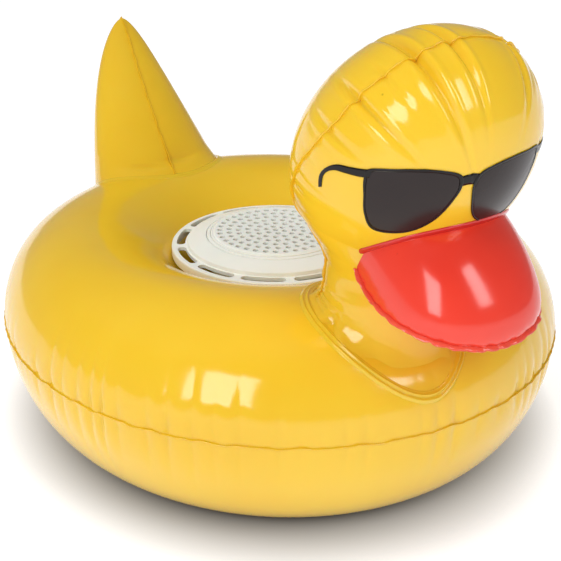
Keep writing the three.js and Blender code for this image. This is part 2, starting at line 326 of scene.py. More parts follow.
def slab(
    size: tuple[float, float, float], centre: tuple[float, float, float], turn: float = 0.0
) -> bmesh.types.BMesh:
    """Makes a straight bar, turned round the vertical axis.

    Args:
        size: Length of each side, in millimetres.
        centre: Middle of the bar before it is turned.
        turn: Turn in degrees.

    Returns:
        The bar's mesh.
    """
    bar = bmesh.new()
    bmesh.ops.create_cube(bar, size=1.0)
    bmesh.ops.scale(bar, vec=size, verts=bar.verts)
    bmesh.ops.translate(bar, vec=centre, verts=bar.verts)
    bmesh.ops.rotate(
        bar, cent=(0, 0, 0), matrix=Matrix.Rotation(math.radians(turn), 3, "Z"), verts=bar.verts
    )
    return bar


def arc_slot(
    inner: float, outer: float, middle: float, arc: float, bottom: float, top: float
) -> bmesh.types.BMesh:
    """Makes the solid of a curved slot with round ends.

    Args:
        inner: Inner radius of the slot.
        outer: Outer radius of the slot.
        middle: Angle of the slot's middle, in degrees.
        arc: Angle that the whole slot takes, in degrees.
        bottom: Lower end of the solid.
        top: Upper end of the solid.

    Returns:
        The solid's mesh.
    """
    centre_radius = (inner + outer) / 2.0
    half_width = (outer - inner) / 2.0
    half_arc = math.radians(arc) / 2.0 - half_width / centre_radius
    plan = bmesh.new()
    rim: list[bmesh.types.BMVert] = []
    end_steps, side_steps = 10, 12
    for side in (1, -1):
        for step in range(side_steps + 1):
            angle = math.radians(middle) + side * half_arc * (2.0 * step / side_steps - 1.0)
            radius = centre_radius + side * half_width
            rim.append(plan.verts.new(polar(radius, angle, bottom)))
        end = math.radians(middle) + side * half_arc
        for step in range(1, end_steps):
            bend = math.pi * step / end_steps
            radius = centre_radius + side * half_width * math.cos(bend)
            angle = end + side * half_width * math.sin(bend) / centre_radius
            rim.append(plan.verts.new(polar(radius, angle, bottom)))
    base = plan.faces.new(rim)
    lifted = bmesh.ops.extrude_face_region(plan, geom=[base])
    moved = [item for item in lifted["geom"] if isinstance(item, bmesh.types.BMVert)]
    bmesh.ops.translate(plan, vec=(0.0, 0.0, top - bottom), verts=moved)
    bmesh.ops.recalc_face_normals(plan, faces=plan.faces)
    return plan


# ---------------------------------------------------------------------------
# Finishes
# ---------------------------------------------------------------------------


class Nodes:
    """Lays out shader nodes and links them by name."""

    def __init__(self, tree: bpy.types.NodeTree) -> None:
        """Starts with an empty tree."""
        self.tree = tree
        tree.nodes.clear()

    def add(self, kind: str, **settings: object) -> bpy.types.Node:
        """Adds a node and sets its properties."""
        node = self.tree.nodes.new(kind)
        for name, value in settings.items():
            setattr(node, name, value)
        return node

    def link(self, source: bpy.types.NodeSocket, target: bpy.types.NodeSocket) -> None:
        """Links an output to an input."""
        self.tree.links.new(source, target)

    def put(self, value: object, target: bpy.types.NodeSocket) -> None:
        """Links an output to an input, or sets the input to a constant."""
        if isinstance(value, bpy.types.NodeSocket):
            self.link(value, target)
        else:
            target.default_value = value

    def math(self, operation: str, first: object, second: object) -> bpy.types.NodeSocket:
        """Adds a sum of two outputs or numbers and returns its output."""
        node = self.add("ShaderNodeMath", operation=operation)
        self.put(first, node.inputs[0])
        self.put(second, node.inputs[1])
        return node.outputs[0]

    def noise(self, place: bpy.types.NodeSocket, scale: object, detail: float) -> bpy.types.NodeSocket:
        """Adds a noise pattern and returns its value."""
        node = self.add("ShaderNodeTexNoise")
        for name, value in (("Vector", place), ("Scale", scale), ("Detail", detail)):
            self.put(value, node.inputs[name])
        return node.outputs["Fac"]

    def ramp(
        self, value: bpy.types.NodeSocket, low: float, high: float, start: float = 0.0, end: float = 1.0
    ) -> bpy.types.NodeSocket:
        """Maps a value from one range to another, clamped."""
        node = self.add("ShaderNodeMapRange")
        names = ("Value", "From Min", "From Max", "To Min", "To Max")
        for name, number in zip(names, (value, low, high, start, end)):
            self.put(number, node.inputs[name])
        return node.outputs["Result"]


def new_group(
    name: str, outputs: Sequence[str], inputs: Sequence[tuple[str, float]]
) -> tuple[Nodes, bpy.types.Node, bpy.types.Node]:
    """Starts a node group with number sockets.

    Args:
        name: The group's name.
        outputs: Names of the outputs.
        inputs: Name and usual value of each input.

    Returns:
        The layout, the group's input node and its output node.
    """
    tree = bpy.data.node_groups.new(name, "ShaderNodeTree")
    for label, value in inputs:
        socket = tree.interface.new_socket(name=label, in_out="INPUT", socket_type="NodeSocketFloat")
        socket.default_value = value
    for label in outputs:
        tree.interface.new_socket(name=label, in_out="OUTPUT", socket_type="NodeSocketFloat")
    nodes = Nodes(tree)
    return nodes, nodes.add("NodeGroupInput"), nodes.add("NodeGroupOutput")


def sheet_group() -> bpy.types.NodeTree:
    """Builds the surface of calendered vinyl sheet.

    Returns:
        A group that puts out uneven tint, specks of dust, gloss and height.
    """
    outputs = ("Tint", "Specks", "Gloss", "Height")
    nodes, given, made = new_group("vinyl_sheet", outputs, (("Grain", 900.0), ("Slack", 26.0)))
    place = nodes.add("ShaderNodeTexCoord").outputs["Object"]
    slack = nodes.noise(place, given.outputs["Slack"], 1.0)
    grain = nodes.noise(place, given.outputs["Grain"], 2.0)
    cells = nodes.add("ShaderNodeTexVoronoi")
    cells.inputs["Scale"].default_value = 62.0
    nodes.link(place, cells.inputs["Vector"])
    sparse = nodes.ramp(nodes.noise(place, 17.0, 0.0), 0.6, 0.66)
    dots = nodes.ramp(cells.outputs["Distance"], 0.02, 0.05, 1.0, 0.0)
    nodes.link(nodes.math("MULTIPLY", dots, sparse), made.inputs["Specks"])
    nodes.link(nodes.ramp(nodes.noise(place, 9.0, 3.0), 0.3, 0.7), made.inputs["Tint"])
    nodes.link(nodes.ramp(nodes.noise(place, 31.0, 4.0), 0.3, 0.7, -0.03, 0.04), made.inputs["Gloss"])
    nodes.link(nodes.math("ADD", slack, nodes.math("MULTIPLY", grain, 0.02)), made.inputs["Height"])
    return nodes.tree


def mould_group() -> bpy.types.NodeTree:
    """Builds the surface of moulded plastic.

    Returns:
        A group that puts out shade, gloss and height of the mould's texture.
    """
    nodes, given, made = new_group("mould_texture", ("Shade", "Gloss", "Height"), (("Grain", 1800.0),))
    place = nodes.add("ShaderNodeTexCoord").outputs["Object"]
    grain = nodes.noise(place, given.outputs["Grain"], 3.0)
    flow = nodes.noise(place, 38.0, 4.0)
    scuffs = nodes.ramp(nodes.noise(place, 210.0, 5.0), 0.56, 0.72)
    nodes.link(nodes.ramp(flow, 0.3, 0.7), made.inputs["Shade"])
    uneven = nodes.ramp(flow, 0.3, 0.7, -0.05, 0.05)
    nodes.link(nodes.math("ADD", uneven, nodes.math("MULTIPLY", scuffs, 0.08)), made.inputs["Gloss"])
    nodes.link(nodes.math("SUBTRACT", grain, nodes.math("MULTIPLY", scuffs, 0.4)), made.inputs["Height"])
    return nodes.tree


SHEET = sheet_group()
MOULD = mould_group()


def colour_mix(
    nodes: Nodes, share: bpy.types.NodeSocket, first: object, second: object
) -> bpy.types.NodeSocket:
    """Mixes two colours by a share and returns the result's socket."""
    node = nodes.add("ShaderNodeMix", data_type="RGBA")
    nodes.link(share, node.inputs["Factor"])
    for socket, colour in ((node.inputs["A"], first), (node.inputs["B"], second)):
        nodes.put((*colour, 1.0) if isinstance(colour, tuple) else colour, socket)
    return node.outputs["Result"]


def start_material(name: str) -> tuple[bpy.types.Material, Nodes, bpy.types.Node]:
    """Starts a material with one Principled shader.

    Args:
        name: The material's name.

    Returns:
        The material, its layout and the shader node.
    """
    material = bpy.data.materials.new(name)
    material.use_nodes = True
    nodes = Nodes(material.node_tree)
    shader = nodes.add("ShaderNodeBsdfPrincipled")
    output = nodes.add("ShaderNodeOutputMaterial")
    nodes.link(shader.outputs["BSDF"], output.inputs["Surface"])
    return material, nodes, shader


def add_bump(
    nodes: Nodes, shader: bpy.types.Node, height: bpy.types.NodeSocket, strength: float, distance: float
) -> None:
    """Feeds a height pattern to the shader's normal."""
    bump = nodes.add("ShaderNodeBump")
    bump.inputs["Strength"].default_value = strength
    bump.inputs["Distance"].default_value = distance
    nodes.link(height, bump.inputs["Height"])
    nodes.link(bump.outputs["Normal"], shader.inputs["Normal"])


@dataclass(frozen=True)
class Finish:
    """Two tints over a shared texture, whose bumps stand as high as the relief in metres."""

    name: str
    colour: Colour
    shade: Colour
    roughness: float = 0.13
    relief: float = 0.0012
    grain: float = 900.0
    strength: float = 0.35
    texture: ClassVar[bpy.types.NodeTree] = SHEET
    mask: ClassVar[str] = "Tint"

    def base_colour(self, nodes: Nodes, texture: bpy.types.Node) -> bpy.types.NodeSocket:
        """Mixes the two tints by the texture's mask."""
        return colour_mix(nodes, texture.outputs[self.mask], self.colour, self.shade)

    def constants(self) -> dict[str, float]:
        """Returns the values that are the same all over, by the shader's sockets."""
        return {}

    def material(self) -> bpy.types.Material:
        """Builds the finish's material."""
        material, nodes, shader = start_material(self.name)
        texture = nodes.add("ShaderNodeGroup", node_tree=self.texture)
        texture.inputs["Grain"].default_value = self.grain
        nodes.link(self.base_colour(nodes, texture), shader.inputs["Base Color"])
        nodes.link(nodes.math("ADD", texture.outputs["Gloss"], self.roughness), shader.inputs["Roughness"])
        add_bump(nodes, shader, texture.outputs["Height"], self.strength, self.relief)
        for socket, value in self.constants().items():
            shader.inputs[socket].default_value = value
        return material


@dataclass(frozen=True)
class VinylFinish(Finish):
    """Glossy inflated vinyl sheet with sparse specks of dust."""

    soft_light: float = 0.12
    seen_through: float = 0.0
    speck_share: float = 0.7

    def base_colour(self, nodes: Nodes, texture: bpy.types.Node) -> bpy.types.NodeSocket:
        """Lays the darker specks over the tints."""
        speck = tuple(channel * self.speck_share for channel in self.shade)
        return colour_mix(nodes, texture.outputs["Specks"], super().base_colour(nodes, texture), speck)

    def constants(self) -> dict[str, float]:
        """Returns the gloss coat and the light that the vinyl lets in."""
        return {
            "IOR": 1.53,
            "Subsurface Weight": self.soft_light,
            "Subsurface Scale": 0.004,
            "Transmission Weight": self.seen_through,
            "Coat Weight": 0.12,
            "Coat Roughness": 0.06,
        }


@dataclass(frozen=True)
class InkFinish(Finish):
    """Printing ink on vinyl."""

    roughness: float = 0.2
    grain: float = 2600.0

    def constants(self) -> dict[str, float]:
        """Returns the ink's weaker reflection."""
        return {"Specular IOR Level": 0.3}


@dataclass(frozen=True)
class MouldedFinish(Finish):
    """Satin moulded plastic."""

    roughness: float = 0.42
    relief: float = 0.00006
    grain: float = 1800.0
    strength: float = 0.5
    texture: ClassVar[bpy.types.NodeTree] = MOULD
    mask: ClassVar[str] = "Shade"

    def constants(self) -> dict[str, float]:
        """Returns the little light that the plastic lets in."""
        return {"Subsurface Weight": 0.08, "Subsurface Scale": 0.002}


@dataclass(frozen=True)
class SteelFinish(MouldedFinish):
    """Brushed steel."""

    name: str = "brushed_screw_steel"
    colour: Colour = (0.56, 0.57, 0.58)
    shade: Colour = (0.38, 0.39, 0.4)
    roughness: float = 0.32
    relief: float = 0.00003
    grain: float = 5200.0

    def constants(self) -> dict[str, float]:
        """Returns the value that makes it a metal."""
        return {"Metallic": 1.0}


@dataclass(frozen=True)
class TabletFinish(MouldedFinish):
    """Pressed chlorine compound, chalky with fine pits."""

    name: str = "pressed_tablet_chalk"
    colour: Colour = (0.86, 0.87, 0.85)
    shade: Colour = (0.74, 0.76, 0.74)
    roughness: float = 0.86
    relief: float = 0.0004
    grain: float = 700.0
    strength: float = 0.8

    def constants(self) -> dict[str, float]:
        """Returns nothing, because chalk is plain."""
        return {}


class Finishes:
    """Every material of the object, each built once."""

    def __init__(self) -> None:
        """Builds the materials."""
        self.yellow = VinylFinish("yellow_vinyl_sheet", (0.88, 0.565, 0.028), (0.84, 0.515, 0.02)).material()
        self.weld = VinylFinish("yellow_weld_line", (0.87, 0.54, 0.025), (0.82, 0.49, 0.018)).material()
        self.red = VinylFinish("red_vinyl_sheet", (0.9, 0.062, 0.03), (0.8, 0.04, 0.022), 0.15).material()
        self.red_edge = VinylFinish("red_rim_edge", (0.93, 0.13, 0.08), (0.86, 0.1, 0.06), 0.15).material()
        self.red_weld = VinylFinish(
            "red_weld_band", (0.66, 0.025, 0.02), (0.56, 0.018, 0.015), 0.14
        ).material()
        self.clear = VinylFinish(
            "clear_valve_vinyl", (0.86, 0.84, 0.74), (0.8, 0.78, 0.66), 0.14, 0.0003,
            soft_light=0.2, seen_through=0.55,
        ).material()
        self.white = MouldedFinish("white_moulded_plastic", (0.95, 0.965, 0.9), (0.92, 0.94, 0.86)).material()
        self.grey = MouldedFinish(
            "grey_moulded_plastic", (0.56, 0.62, 0.60), (0.49, 0.55, 0.53), 0.5
        ).material()
        self.black_ink = InkFinish("black_print_ink", (0.006, 0.005, 0.005), (0.012, 0.009, 0.008)).material()
        self.lens_ink = InkFinish(
            "dark_lens_print_ink", (0.02, 0.0125, 0.012), (0.028, 0.018, 0.017)
        ).material()
        # Painted shade: a near-black grey-green for the thin disc under the lid, which darkens its holes as
        # the shade inside the canister would.
        self.painted_hole_shade = MouldedFinish(
            "painted_shade_under_lid_holes", (0.035, 0.042, 0.035), (0.025, 0.03, 0.025), 0.9, 0.0004
        ).material()
        self.steel = SteelFinish().material()
        self.tablet = TabletFinish().material()


def finish_piece(
    shape: bmesh.types.BMesh,
    name: str,
    material: bpy.types.Material,
    body: Body,
    slot: Slot,
    replaces: Sequence[str] = (),
    crease: float | None = None,
) -> bpy.types.Object:
    """Turns a mesh in millimetres into a dressed piece that rides on its body.

    Args:
        shape: The finished mesh, in millimetres.
        name: The piece's name.
        material: The piece's material.
        body: The body it rides on.
        slot: The record's slot that its finish belongs to. Not used.
        replaces: The frame's nodes that it stands for.
        crease: Angle in degrees past which an edge is shaded sharp, or None for a soft piece.

    Returns:
        The finished object.
    """
    piece = as_object(shape, name, MM)
    mesh = piece.data
    mesh.shade_smooth()
    if crease is not None:
        mesh.set_sharp_from_angle(angle=math.radians(crease))
    mesh.materials.append(material)
    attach(piece, body.value)
    if replaces:
        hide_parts(*replaces)
    log.info("%s: %d faces", name, len(mesh.polygons))
    return piece


def add_sheet(
    sheet: bmesh.types.BMesh,
    name: str,
    material: bpy.types.Material,
    wall: float = WELD_WALL,
    slot: Slot = Slot.YELLOW,
) -> None:
    """Gives a thin sheet on the float its wall and makes it a dressed piece."""
    finish_piece(thickened(sheet, wall), name, material, Body.FLOAT, slot)


# ---------------------------------------------------------------------------
# The inflated duck
# ---------------------------------------------------------------------------


@dataclass
class RingChamber:
    """The float's ring: two panels welded at an outer and an inner seam."""

    half_width: float = field(default_factory=lambda: corners("ring_upper_panel")[1].x)
    half_length: float = field(default_factory=lambda: corners("ring_upper_panel")[1].y)
    top: float = field(default_factory=lambda: corners("ring_upper_panel")[1].z)
    seam: float = field(
        default_factory=lambda: (corners("ring_upper_panel")[0].z + corners("ring_lower_panel")[1].z) / 2
    )
    hole: float = 62.0
    crest: float = 140.0
    lip: float = 1.3
    well_dip: float = 1.35
    round_within: float = 90.0
    outer_share: float = 0.6
    section_girth: float = 72.0
    pucker_count: int = 86
    hole_pucker_count: int = 34
    pucker_depth: float = 3.8
    pucker_end: float = 60.0

    @property
    def outer_reach(self) -> float:
        """Returns the distance from the crest to the outer seam."""
        return self.half_width - self.lip - self.crest

    @property
    def inner_reach(self) -> float:
        """Returns the distance from the crest to the inner seam."""
        return self.crest - self.hole

    def oval(self, point: Vector) -> Vector:
        """Stretches a point of a round ring into the oval ring."""
        radius = math.hypot(point.x, point.y)
        if radius < self.round_within:
            return point
        across = point.x / radius / self.half_width
        along = point.y / radius / self.half_length
        stretch = 1.0 / math.hypot(across, along) - self.half_width
        scale = (radius + stretch * smoothstep(radius, self.round_within, self.half_width)) / radius
        return Vector((point.x * scale, point.y * scale, point.z))

    def round_radius(self, x: float, y: float) -> float:
        """Returns the radius on the round ring that lands on a plan point of the oval one."""
        radius = math.hypot(x, y)
        guess = radius
        for _ in range(4):
            reached = self.oval(Vector((x, y, 0.0)) * (guess / radius))
            guess += radius - math.hypot(reached.x, reached.y)
        return guess

    def upper_height(self, radius: float, rise: float) -> float:
        """Returns the upper panel's height where its section has risen by a share of its full height."""
        power = 1.0 if radius > self.crest else self.well_dip
        return self.seam + (self.top - self.seam) * rise**power

    def height_at(self, x: float, y: float) -> float:
        """Returns the height of the upper panel over a plan point."""
        radius = self.round_radius(x, y)
        reach = self.outer_reach if radius > self.crest else self.inner_reach
        share = min(1.0, abs(radius - self.crest) / reach)
        return self.upper_height(radius, math.sqrt(1.0 - share * share))

    def section(self, along: float) -> tuple[float, float, float]:
        """Follows the ring's section once round, from the outer seam over the crest.

        Args:
            along: Share of the way round the section.

        Returns:
            Radius, height and distance from the nearer seam, in millimetres.
        """
        upper = along < 0.5
        share = 2.0 * along if upper else 2.0 * (1.0 - along)
        if share < self.outer_share:
            angle = 0.5 * math.pi * (share / self.outer_share) ** 1.45
        else:
            angle = 0.5 * math.pi * (2.0 - ((1.0 - share) / (1.0 - self.outer_share)) ** 1.2)
        reach = self.outer_reach if angle < 0.5 * math.pi else self.inner_reach
        radius = self.crest + reach * math.cos(angle)
        rise = math.sin(angle)
        if upper:
            height = self.upper_height(radius, rise)
        else:
            height = self.seam * (1.0 - min(1.0, 1.05 * rise))
        return radius, height, min(angle, math.pi - angle) * self.section_girth

    def pucker(self, turn: float, from_seam: float, upper: bool, inner: bool) -> float:
        """Returns how far the sheet is drawn in where the seam gathers it.

        Args:
            turn: Share of the way round the ring.
            from_seam: Distance from the seam.
            upper: Whether the point is on the upper panel.
            inner: Whether the seam is the one round the hole.

        Returns:
            The depth in millimetres.
        """
        if from_seam > self.pucker_end:
            return 0.0
        count = self.hole_pucker_count if inner else self.pucker_count
        wander = 0.75 * wave(7 * turn, 0.4) + 0.6 * wave(17 * turn, 2.1) + 0.35 * wave(31 * turn, 0.9)
        valley = gathers(math.pi * count * turn + wander, 0.55)
        strength = 0.55 + 0.3 * wave(5 * turn, 1.7) + 0.25 * wave(23 * turn, 0.3)
        length = 17.0 + 6.0 * wave(11 * turn, 1.0) + 5.0 * wave(3 * turn, 2.6)
        if not upper:
            length *= 0.8
        fade = hump(from_seam, max(5.0, length), 1.3) * smoothstep(from_seam, -2.0, 5.0)
        return self.pucker_depth * max(0.15, strength) * valley * fade + 0.2 * hump(from_seam, 3.0)

    def place(self, turn: float, along: float) -> Vector:
        """Returns a point of the ring's skin."""
        radius, height, from_seam = self.section(along)
        inner = radius < self.crest
        upper = along < 0.5
        depth = self.pucker(turn, from_seam, upper, inner)
        lean = math.atan2(height - self.seam, radius - self.crest)
        radius -= depth * math.cos(lean)
        height -= depth * math.sin(lean)
        loose = 0.5 * wave(3 * turn, 0.8) + 0.35 * wave(5 * turn, 2.0)
        if upper:
            height += loose * math.sin(math.pi * min(1.0, from_seam / 70.0)) * 0.6
        return self.oval(polar(radius, FULL_TURN * turn, max(0.0, height)))

    def fin(self, turn: float, across: float, inner: bool) -> Vector:
        """Returns a point of the weld's flat edge, which stands out from the seam and waves."""
        ripple = 0.5 * wave(43 * turn, 0.5) + 0.35 * wave(71 * turn, 1.2) + 0.2 * wave(127 * turn)
        notch = 0.35 * abs(wave(61 * turn, 0.7))
        if inner:
            radius = self.hole + 1.6 - across * (2.6 - notch)
        else:
            radius = self.half_width - self.lip - 1.9 + across * (2.9 - notch)
        return self.oval(polar(radius, FULL_TURN * turn, self.seam + ripple * across))

    def build(self, finishes: Finishes) -> None:
        """Builds the ring's skin and its two weld edges."""
        chamber = skin(840, 84, self.place)
        piece = finish_piece(
            chamber, "ring_chamber", finishes.yellow, Body.FLOAT, Slot.YELLOW,
            ("ring_upper_panel", "ring_lower_panel"),
        )
        for name, inner, steps in (("ring_outer_weld", False, 720), ("ring_inner_weld", True, 300)):
            fin = skin(steps, 3, lambda turn, across, inner=inner: self.fin(turn, across, inner))
            add_sheet(fin, name, finishes.weld)


@dataclass
class Crease:
    """A fold that starts at a seam."""

    at: float
    depth: float
    width: float
    front: float
    back: float

    def depth_at(self, along: float, ahead: float) -> float:
        """Returns the fold's depth.

        Args:
            along: Distance along the seam.
            ahead: Distance in front of the seam, or behind it if negative.

        Returns:
            The depth in millimetres; the rolls beside the fold stand proud.
        """
        reach = self.front if ahead > 0 else self.back
        offset = abs(along - self.at) / self.width
        groove = hump(offset, 1.0, 1.4) - 0.24 * hump(offset - 2.3, 1.1)
        return self.depth * hump(ahead, reach, 2.2) * groove


@dataclass
class HeadChamber:
    """The duck's head and neck: a front and a back panel welded down both sides."""

    ring: RingChamber
    centre: Vector = field(default_factory=lambda: Vector((0.0, -163.0, 246.0)))
    crown: Vector = field(default_factory=lambda: Vector((0.0, -41.0, 74.0)))
    half_width: float = field(default_factory=lambda: corners("head_front_panel")[1].x - 3.0)
    half_depth: float = 64.0
    tilt: float = 20.0
    lowest: float = -0.45
    head_end: float = 0.6
    waist: float = 0.8
    weld: float = 0.97
    seam_girth: float = 81.0
    front_girth: float = 66.0
    neck_run: float = 55.0
    neck_girth: float = 44.0
    foot: Vector = field(default_factory=lambda: Vector((-12.0, -160.0, 0.0)))
    foot_width: float = 49.5
    foot_tuck: float = 8.0
    foot_front: float = 55.0
    foot_back: float = 47.0
    creases: tuple[Crease, ...] = (
        Crease(-98.0, 1.8, 2.0, 22.0, 18.0),
        Crease(-75.0, 3.4, 2.2, 40.0, 26.0),
        Crease(-56.0, 1.3, 1.8, 20.0, 12.0),
        Crease(-36.0, 5.0, 2.5, 52.0, 34.0),
        Crease(-12.5, 3.6, 2.2, 38.0, 28.0),
        Crease(33.0, 3.4, 2.3, 34.0, 28.0),
        Crease(54.0, 1.6, 2.0, 22.0, 20.0),
        Crease(78.0, 3.2, 2.3, 34.0, 30.0),
        Crease(104.0, 2.0, 2.0, 22.0, 24.0),
    )
    foot_pinches: tuple[tuple[float, float, float], ...] = (
        (-1.42, 3.2, 0.07),
        (0.62, 3.0, 0.09),
        (-0.75, 0.9, 0.12),
        (1.5, 2.4, 0.08),
        (2.6, 1.8, 0.1),
        (-2.4, 1.8, 0.1),
    )

    @property
    def end_polar(self) -> float:
        """Returns the angle from the crown at which the head goes over into the neck."""
        return math.acos(self.lowest)

    def stations(self) -> list[tuple[float, float, float, float, float, float]]:
        """Lists the neck's sections below the head.

        Returns:
            Centre x, y, z, half-width, half-depth and forward tilt in degrees of each section.
        """
        sections = []
        for level in (-0.25, self.lowest):
            middle = self.centre + self.crown * level
            spread = math.sqrt(1.0 - level * level)
            sections.append((*middle, self.half_width * spread, self.half_depth * spread, self.tilt))
        sections.append((-6.0, -157.0, 181.0, 44.5, 45.0, 9.0))
        sections.append((-12.0, -160.0, 160.0, 41.0, 40.0, 0.0))
        sections.append((-12.0, -161.0, 142.0, 43.0, 41.0, 0.0))
        return sections

    def neck_section(self, share: float) -> list[float]:
        """Returns the neck's section at a share of the way from the head to the waist."""
        sections = self.stations()
        spans = len(sections) - 3
        spot = min(share * spans, spans - 1e-6)
        first = int(spot)
        return spline(sections[first : first + 4], spot - first)

    def on_section(self, section: Sequence[float], angle: float) -> Vector:
        """Returns the point of a section at an angle from the front towards +X."""
        x, y, z, half_width, half_depth, tilt = section
        lean = math.radians(tilt)
        forward = Vector((0.0, -math.cos(lean), -math.sin(lean)))
        sideways = Vector((half_width * math.sin(angle), 0.0, 0.0))
        return Vector((x, y, z)) + sideways + forward * (half_depth * math.cos(angle))

    def weld_point(self, angle: float, outward: float = 0.0) -> Vector:
        """Returns the point where the neck is welded to the ring, or one further out on the ring."""
        depth = self.foot_front if math.cos(angle) > 0 else self.foot_back
        width = self.foot_width if math.sin(angle) < 0 else self.foot_width - self.foot_tuck
        x = self.foot.x + (width + outward) * math.sin(angle)
        y = self.foot.y - (depth + outward) * math.cos(angle)
        return Vector((x, y, self.ring.height_at(x, y)))

    def head_point(self, polar: float, angle: float) -> Vector:
        """Returns a point of the smooth head at an angle from the crown."""
        level = math.cos(polar)
        middle = self.centre + self.crown * level
        spread = math.sin(polar)
        section = (*middle, self.half_width * spread, self.half_depth * spread, self.tilt)
        return self.on_section(section, angle)

    def smooth_point(self, along: float, angle: float) -> Vector:
        """Returns a point of the unfolded skin, from the crown to below the weld."""
        if along < self.head_end:
            return self.head_point(self.end_polar * along / self.head_end, angle)
        if along < self.waist:
            return self.on_section(self.neck_section(span(along, self.head_end, self.waist)), angle)
        waist = self.on_section(self.neck_section(1.0), angle)
        foot = self.weld_point(angle)
        if along < self.weld:
            x, y = mix(waist.x, foot.x, 0.12), mix(waist.y, foot.y, 0.12)
            pull = Vector((x, y, mix(foot.z, waist.z, 0.25)))
            return bowed(waist, pull, foot, span(along, self.waist, self.weld))
        inside = Vector((self.foot.x, self.foot.y, foot.z))
        sink, tuck = span(along, self.weld, 1.0), 0.34
        if sink < tuck:
            return foot.lerp(inside, 0.05 * sink / tuck) - Vector((0.0, 0.0, 2.0 * sink / tuck))
        edge = foot.lerp(inside, 0.05) - Vector((0.0, 0.0, 2.0))
        middle = Vector((self.foot.x, self.foot.y, self.ring.height_at(self.foot.x, self.foot.y) - 3.0))
        return edge.lerp(middle, span(sink, tuck, 1.0))

    def seam_angle(self, along: float) -> float:
        """Returns the seam's angle from the front, which drifts back on the way down."""
        on_head = smoothstep(along, 0.3, self.head_end)
        drift = 14.0 * on_head + 14.0 * smoothstep(along, self.head_end, self.waist)
        return math.radians(90.0 + drift)

    def seam_place(self, along: float, angle: float) -> tuple[float, float]:
        """Returns the distances along the seam from the crown, and in front of the seam."""
        angle = math.remainder(angle, FULL_TURN)
        side = 1.0 if angle >= 0 else -1.0
        seam = self.seam_angle(along)
        from_front = abs(angle)
        if from_front < seam:
            angle = side * 0.5 * math.pi * from_front / seam
        else:
            angle = side * 0.5 * math.pi * (1.0 + span(from_front, seam, math.pi))
        if along < self.head_end:
            from_crown = self.end_polar * along / self.head_end
            forward = max(-1.0, min(1.0, math.sin(from_crown) * math.cos(angle)))
            turn = math.atan2(math.sin(from_crown) * math.sin(angle), math.cos(from_crown))
            return turn * self.seam_girth, math.asin(forward) * self.front_girth
        run = self.end_polar * self.seam_girth + span(along, self.head_end, self.waist) * self.neck_run
        return side * run, math.asin(math.cos(angle)) * self.neck_girth

    def fold_depth(self, along: float, angle: float) -> float:
        """Returns how far folds and gathers draw the skin in."""
        run, ahead = self.seam_place(along, angle)
        depth = sum(crease.depth_at(run, ahead) for crease in self.creases)
        low = smoothstep(abs(run), 95.0, 150.0)
        wander = 0.8 * math.sin(run / 19.0) + 0.5 * math.sin(run / 7.3 + 1.0)
        valley = gathers(math.pi * run / 15.0 + wander)
        strength = 0.06 + 0.1 * math.sin(run / 23.0 + 0.6) + 1.1 * low
        depth += strength * valley * hump(ahead, mix(8.0, 17.0, low), 1.4)
        return depth + 0.45 * hump(ahead, 2.4)

    def foot_folds(self, along: float, angle: float) -> float:
        """Returns how far the neck is pinched just above its weld."""
        height = span(along, self.weld, self.waist)
        if height < 0.0 or height > 1.4:
            return 0.0
        depth = 0.0
        for at, strong, wide in self.foot_pinches:
            offset = abs(math.remainder(angle - at, FULL_TURN)) / wide
            depth += strong * (hump(offset, 1.0, 1.5) - 0.35 * hump(offset - 2.4, 1.2))
        return depth * hump(height, 0.55)

    def skin_point(self, along: float, angle: float, proud: float = 0.0) -> Vector:
        """Returns a point of the finished skin, or one that stands proud of it."""
        here = self.smooth_point(along, angle)
        if along > self.weld:
            return here
        step, last = 0.004, self.weld - 0.001
        around = self.smooth_point(along, angle + step) - self.smooth_point(along, angle - step)
        above = self.smooth_point(max(along - step, 0.0), angle)
        normal = (self.smooth_point(min(along + step, last), angle) - above).cross(around)
        if normal.length < 1e-9 or along < 1e-4:
            lean = math.radians(self.tilt)
            normal = Vector((0.0, -math.sin(lean), math.cos(lean)))
        normal.normalize()
        if normal.dot(here - self.centre) < 0 and along < self.head_end:
            normal.negate()
        depth = self.fold_depth(along, angle) * (1.0 - smoothstep(along, 0.86, 0.95))
        return here + normal * (proud - depth - self.foot_folds(along, angle))

    def place(self, turn: float, along: float) -> Vector:
        """Returns a point of the skin for a share of a turn from the front."""
        return self.skin_point(along, FULL_TURN * turn)

    def find(self, x: float, z: float) -> tuple[float, float]:
        """Finds the place on the smooth front panel that has a given x and z.

        Args:
            x: Sideways place, in millimetres.
            z: Height, in millimetres.

        Returns:
            The share along from the crown and the angle from the front.
        """
        along, angle = 0.4, 0.0
        for _ in range(4):
            along = halved(0.1, 0.8, 14, lambda share: self.smooth_point(share, angle).z > z)
            middle = self.smooth_point(along, 0.0).x
            half = self.smooth_point(along, 0.5 * math.pi).x - middle
            angle = math.asin(max(-0.96, min(0.96, (x - middle) / half)))
        return along, angle

    def seam_fin(self, share: float, across: float) -> Vector:
        """Returns a point of the flat weld edge that runs from side to side over the crown."""
        run = 2.0 * share - 1.0
        along = abs(run) * 0.955
        side = math.copysign(self.seam_angle(along), run)
        base = self.smooth_point(along, side)
        outward = base - self.centre
        if along >= self.head_end:
            sideways = 0.8 * base.x + 8.0
            outward = Vector((sideways, 0.0, -0.1 * abs(sideways)))
        outward.normalize()
        depth = self.fold_depth(along, side) * 0.75
        ripple = 0.45 * math.sin(run * 61.0) + 0.3 * math.sin(run * 97.0 + 1.0)
        reach = mix(-1.6, 1.5 + 0.35 * math.sin(run * 133.0), across)
        return base + outward * (reach - depth) + Vector((0.0, ripple * across, 0.0))

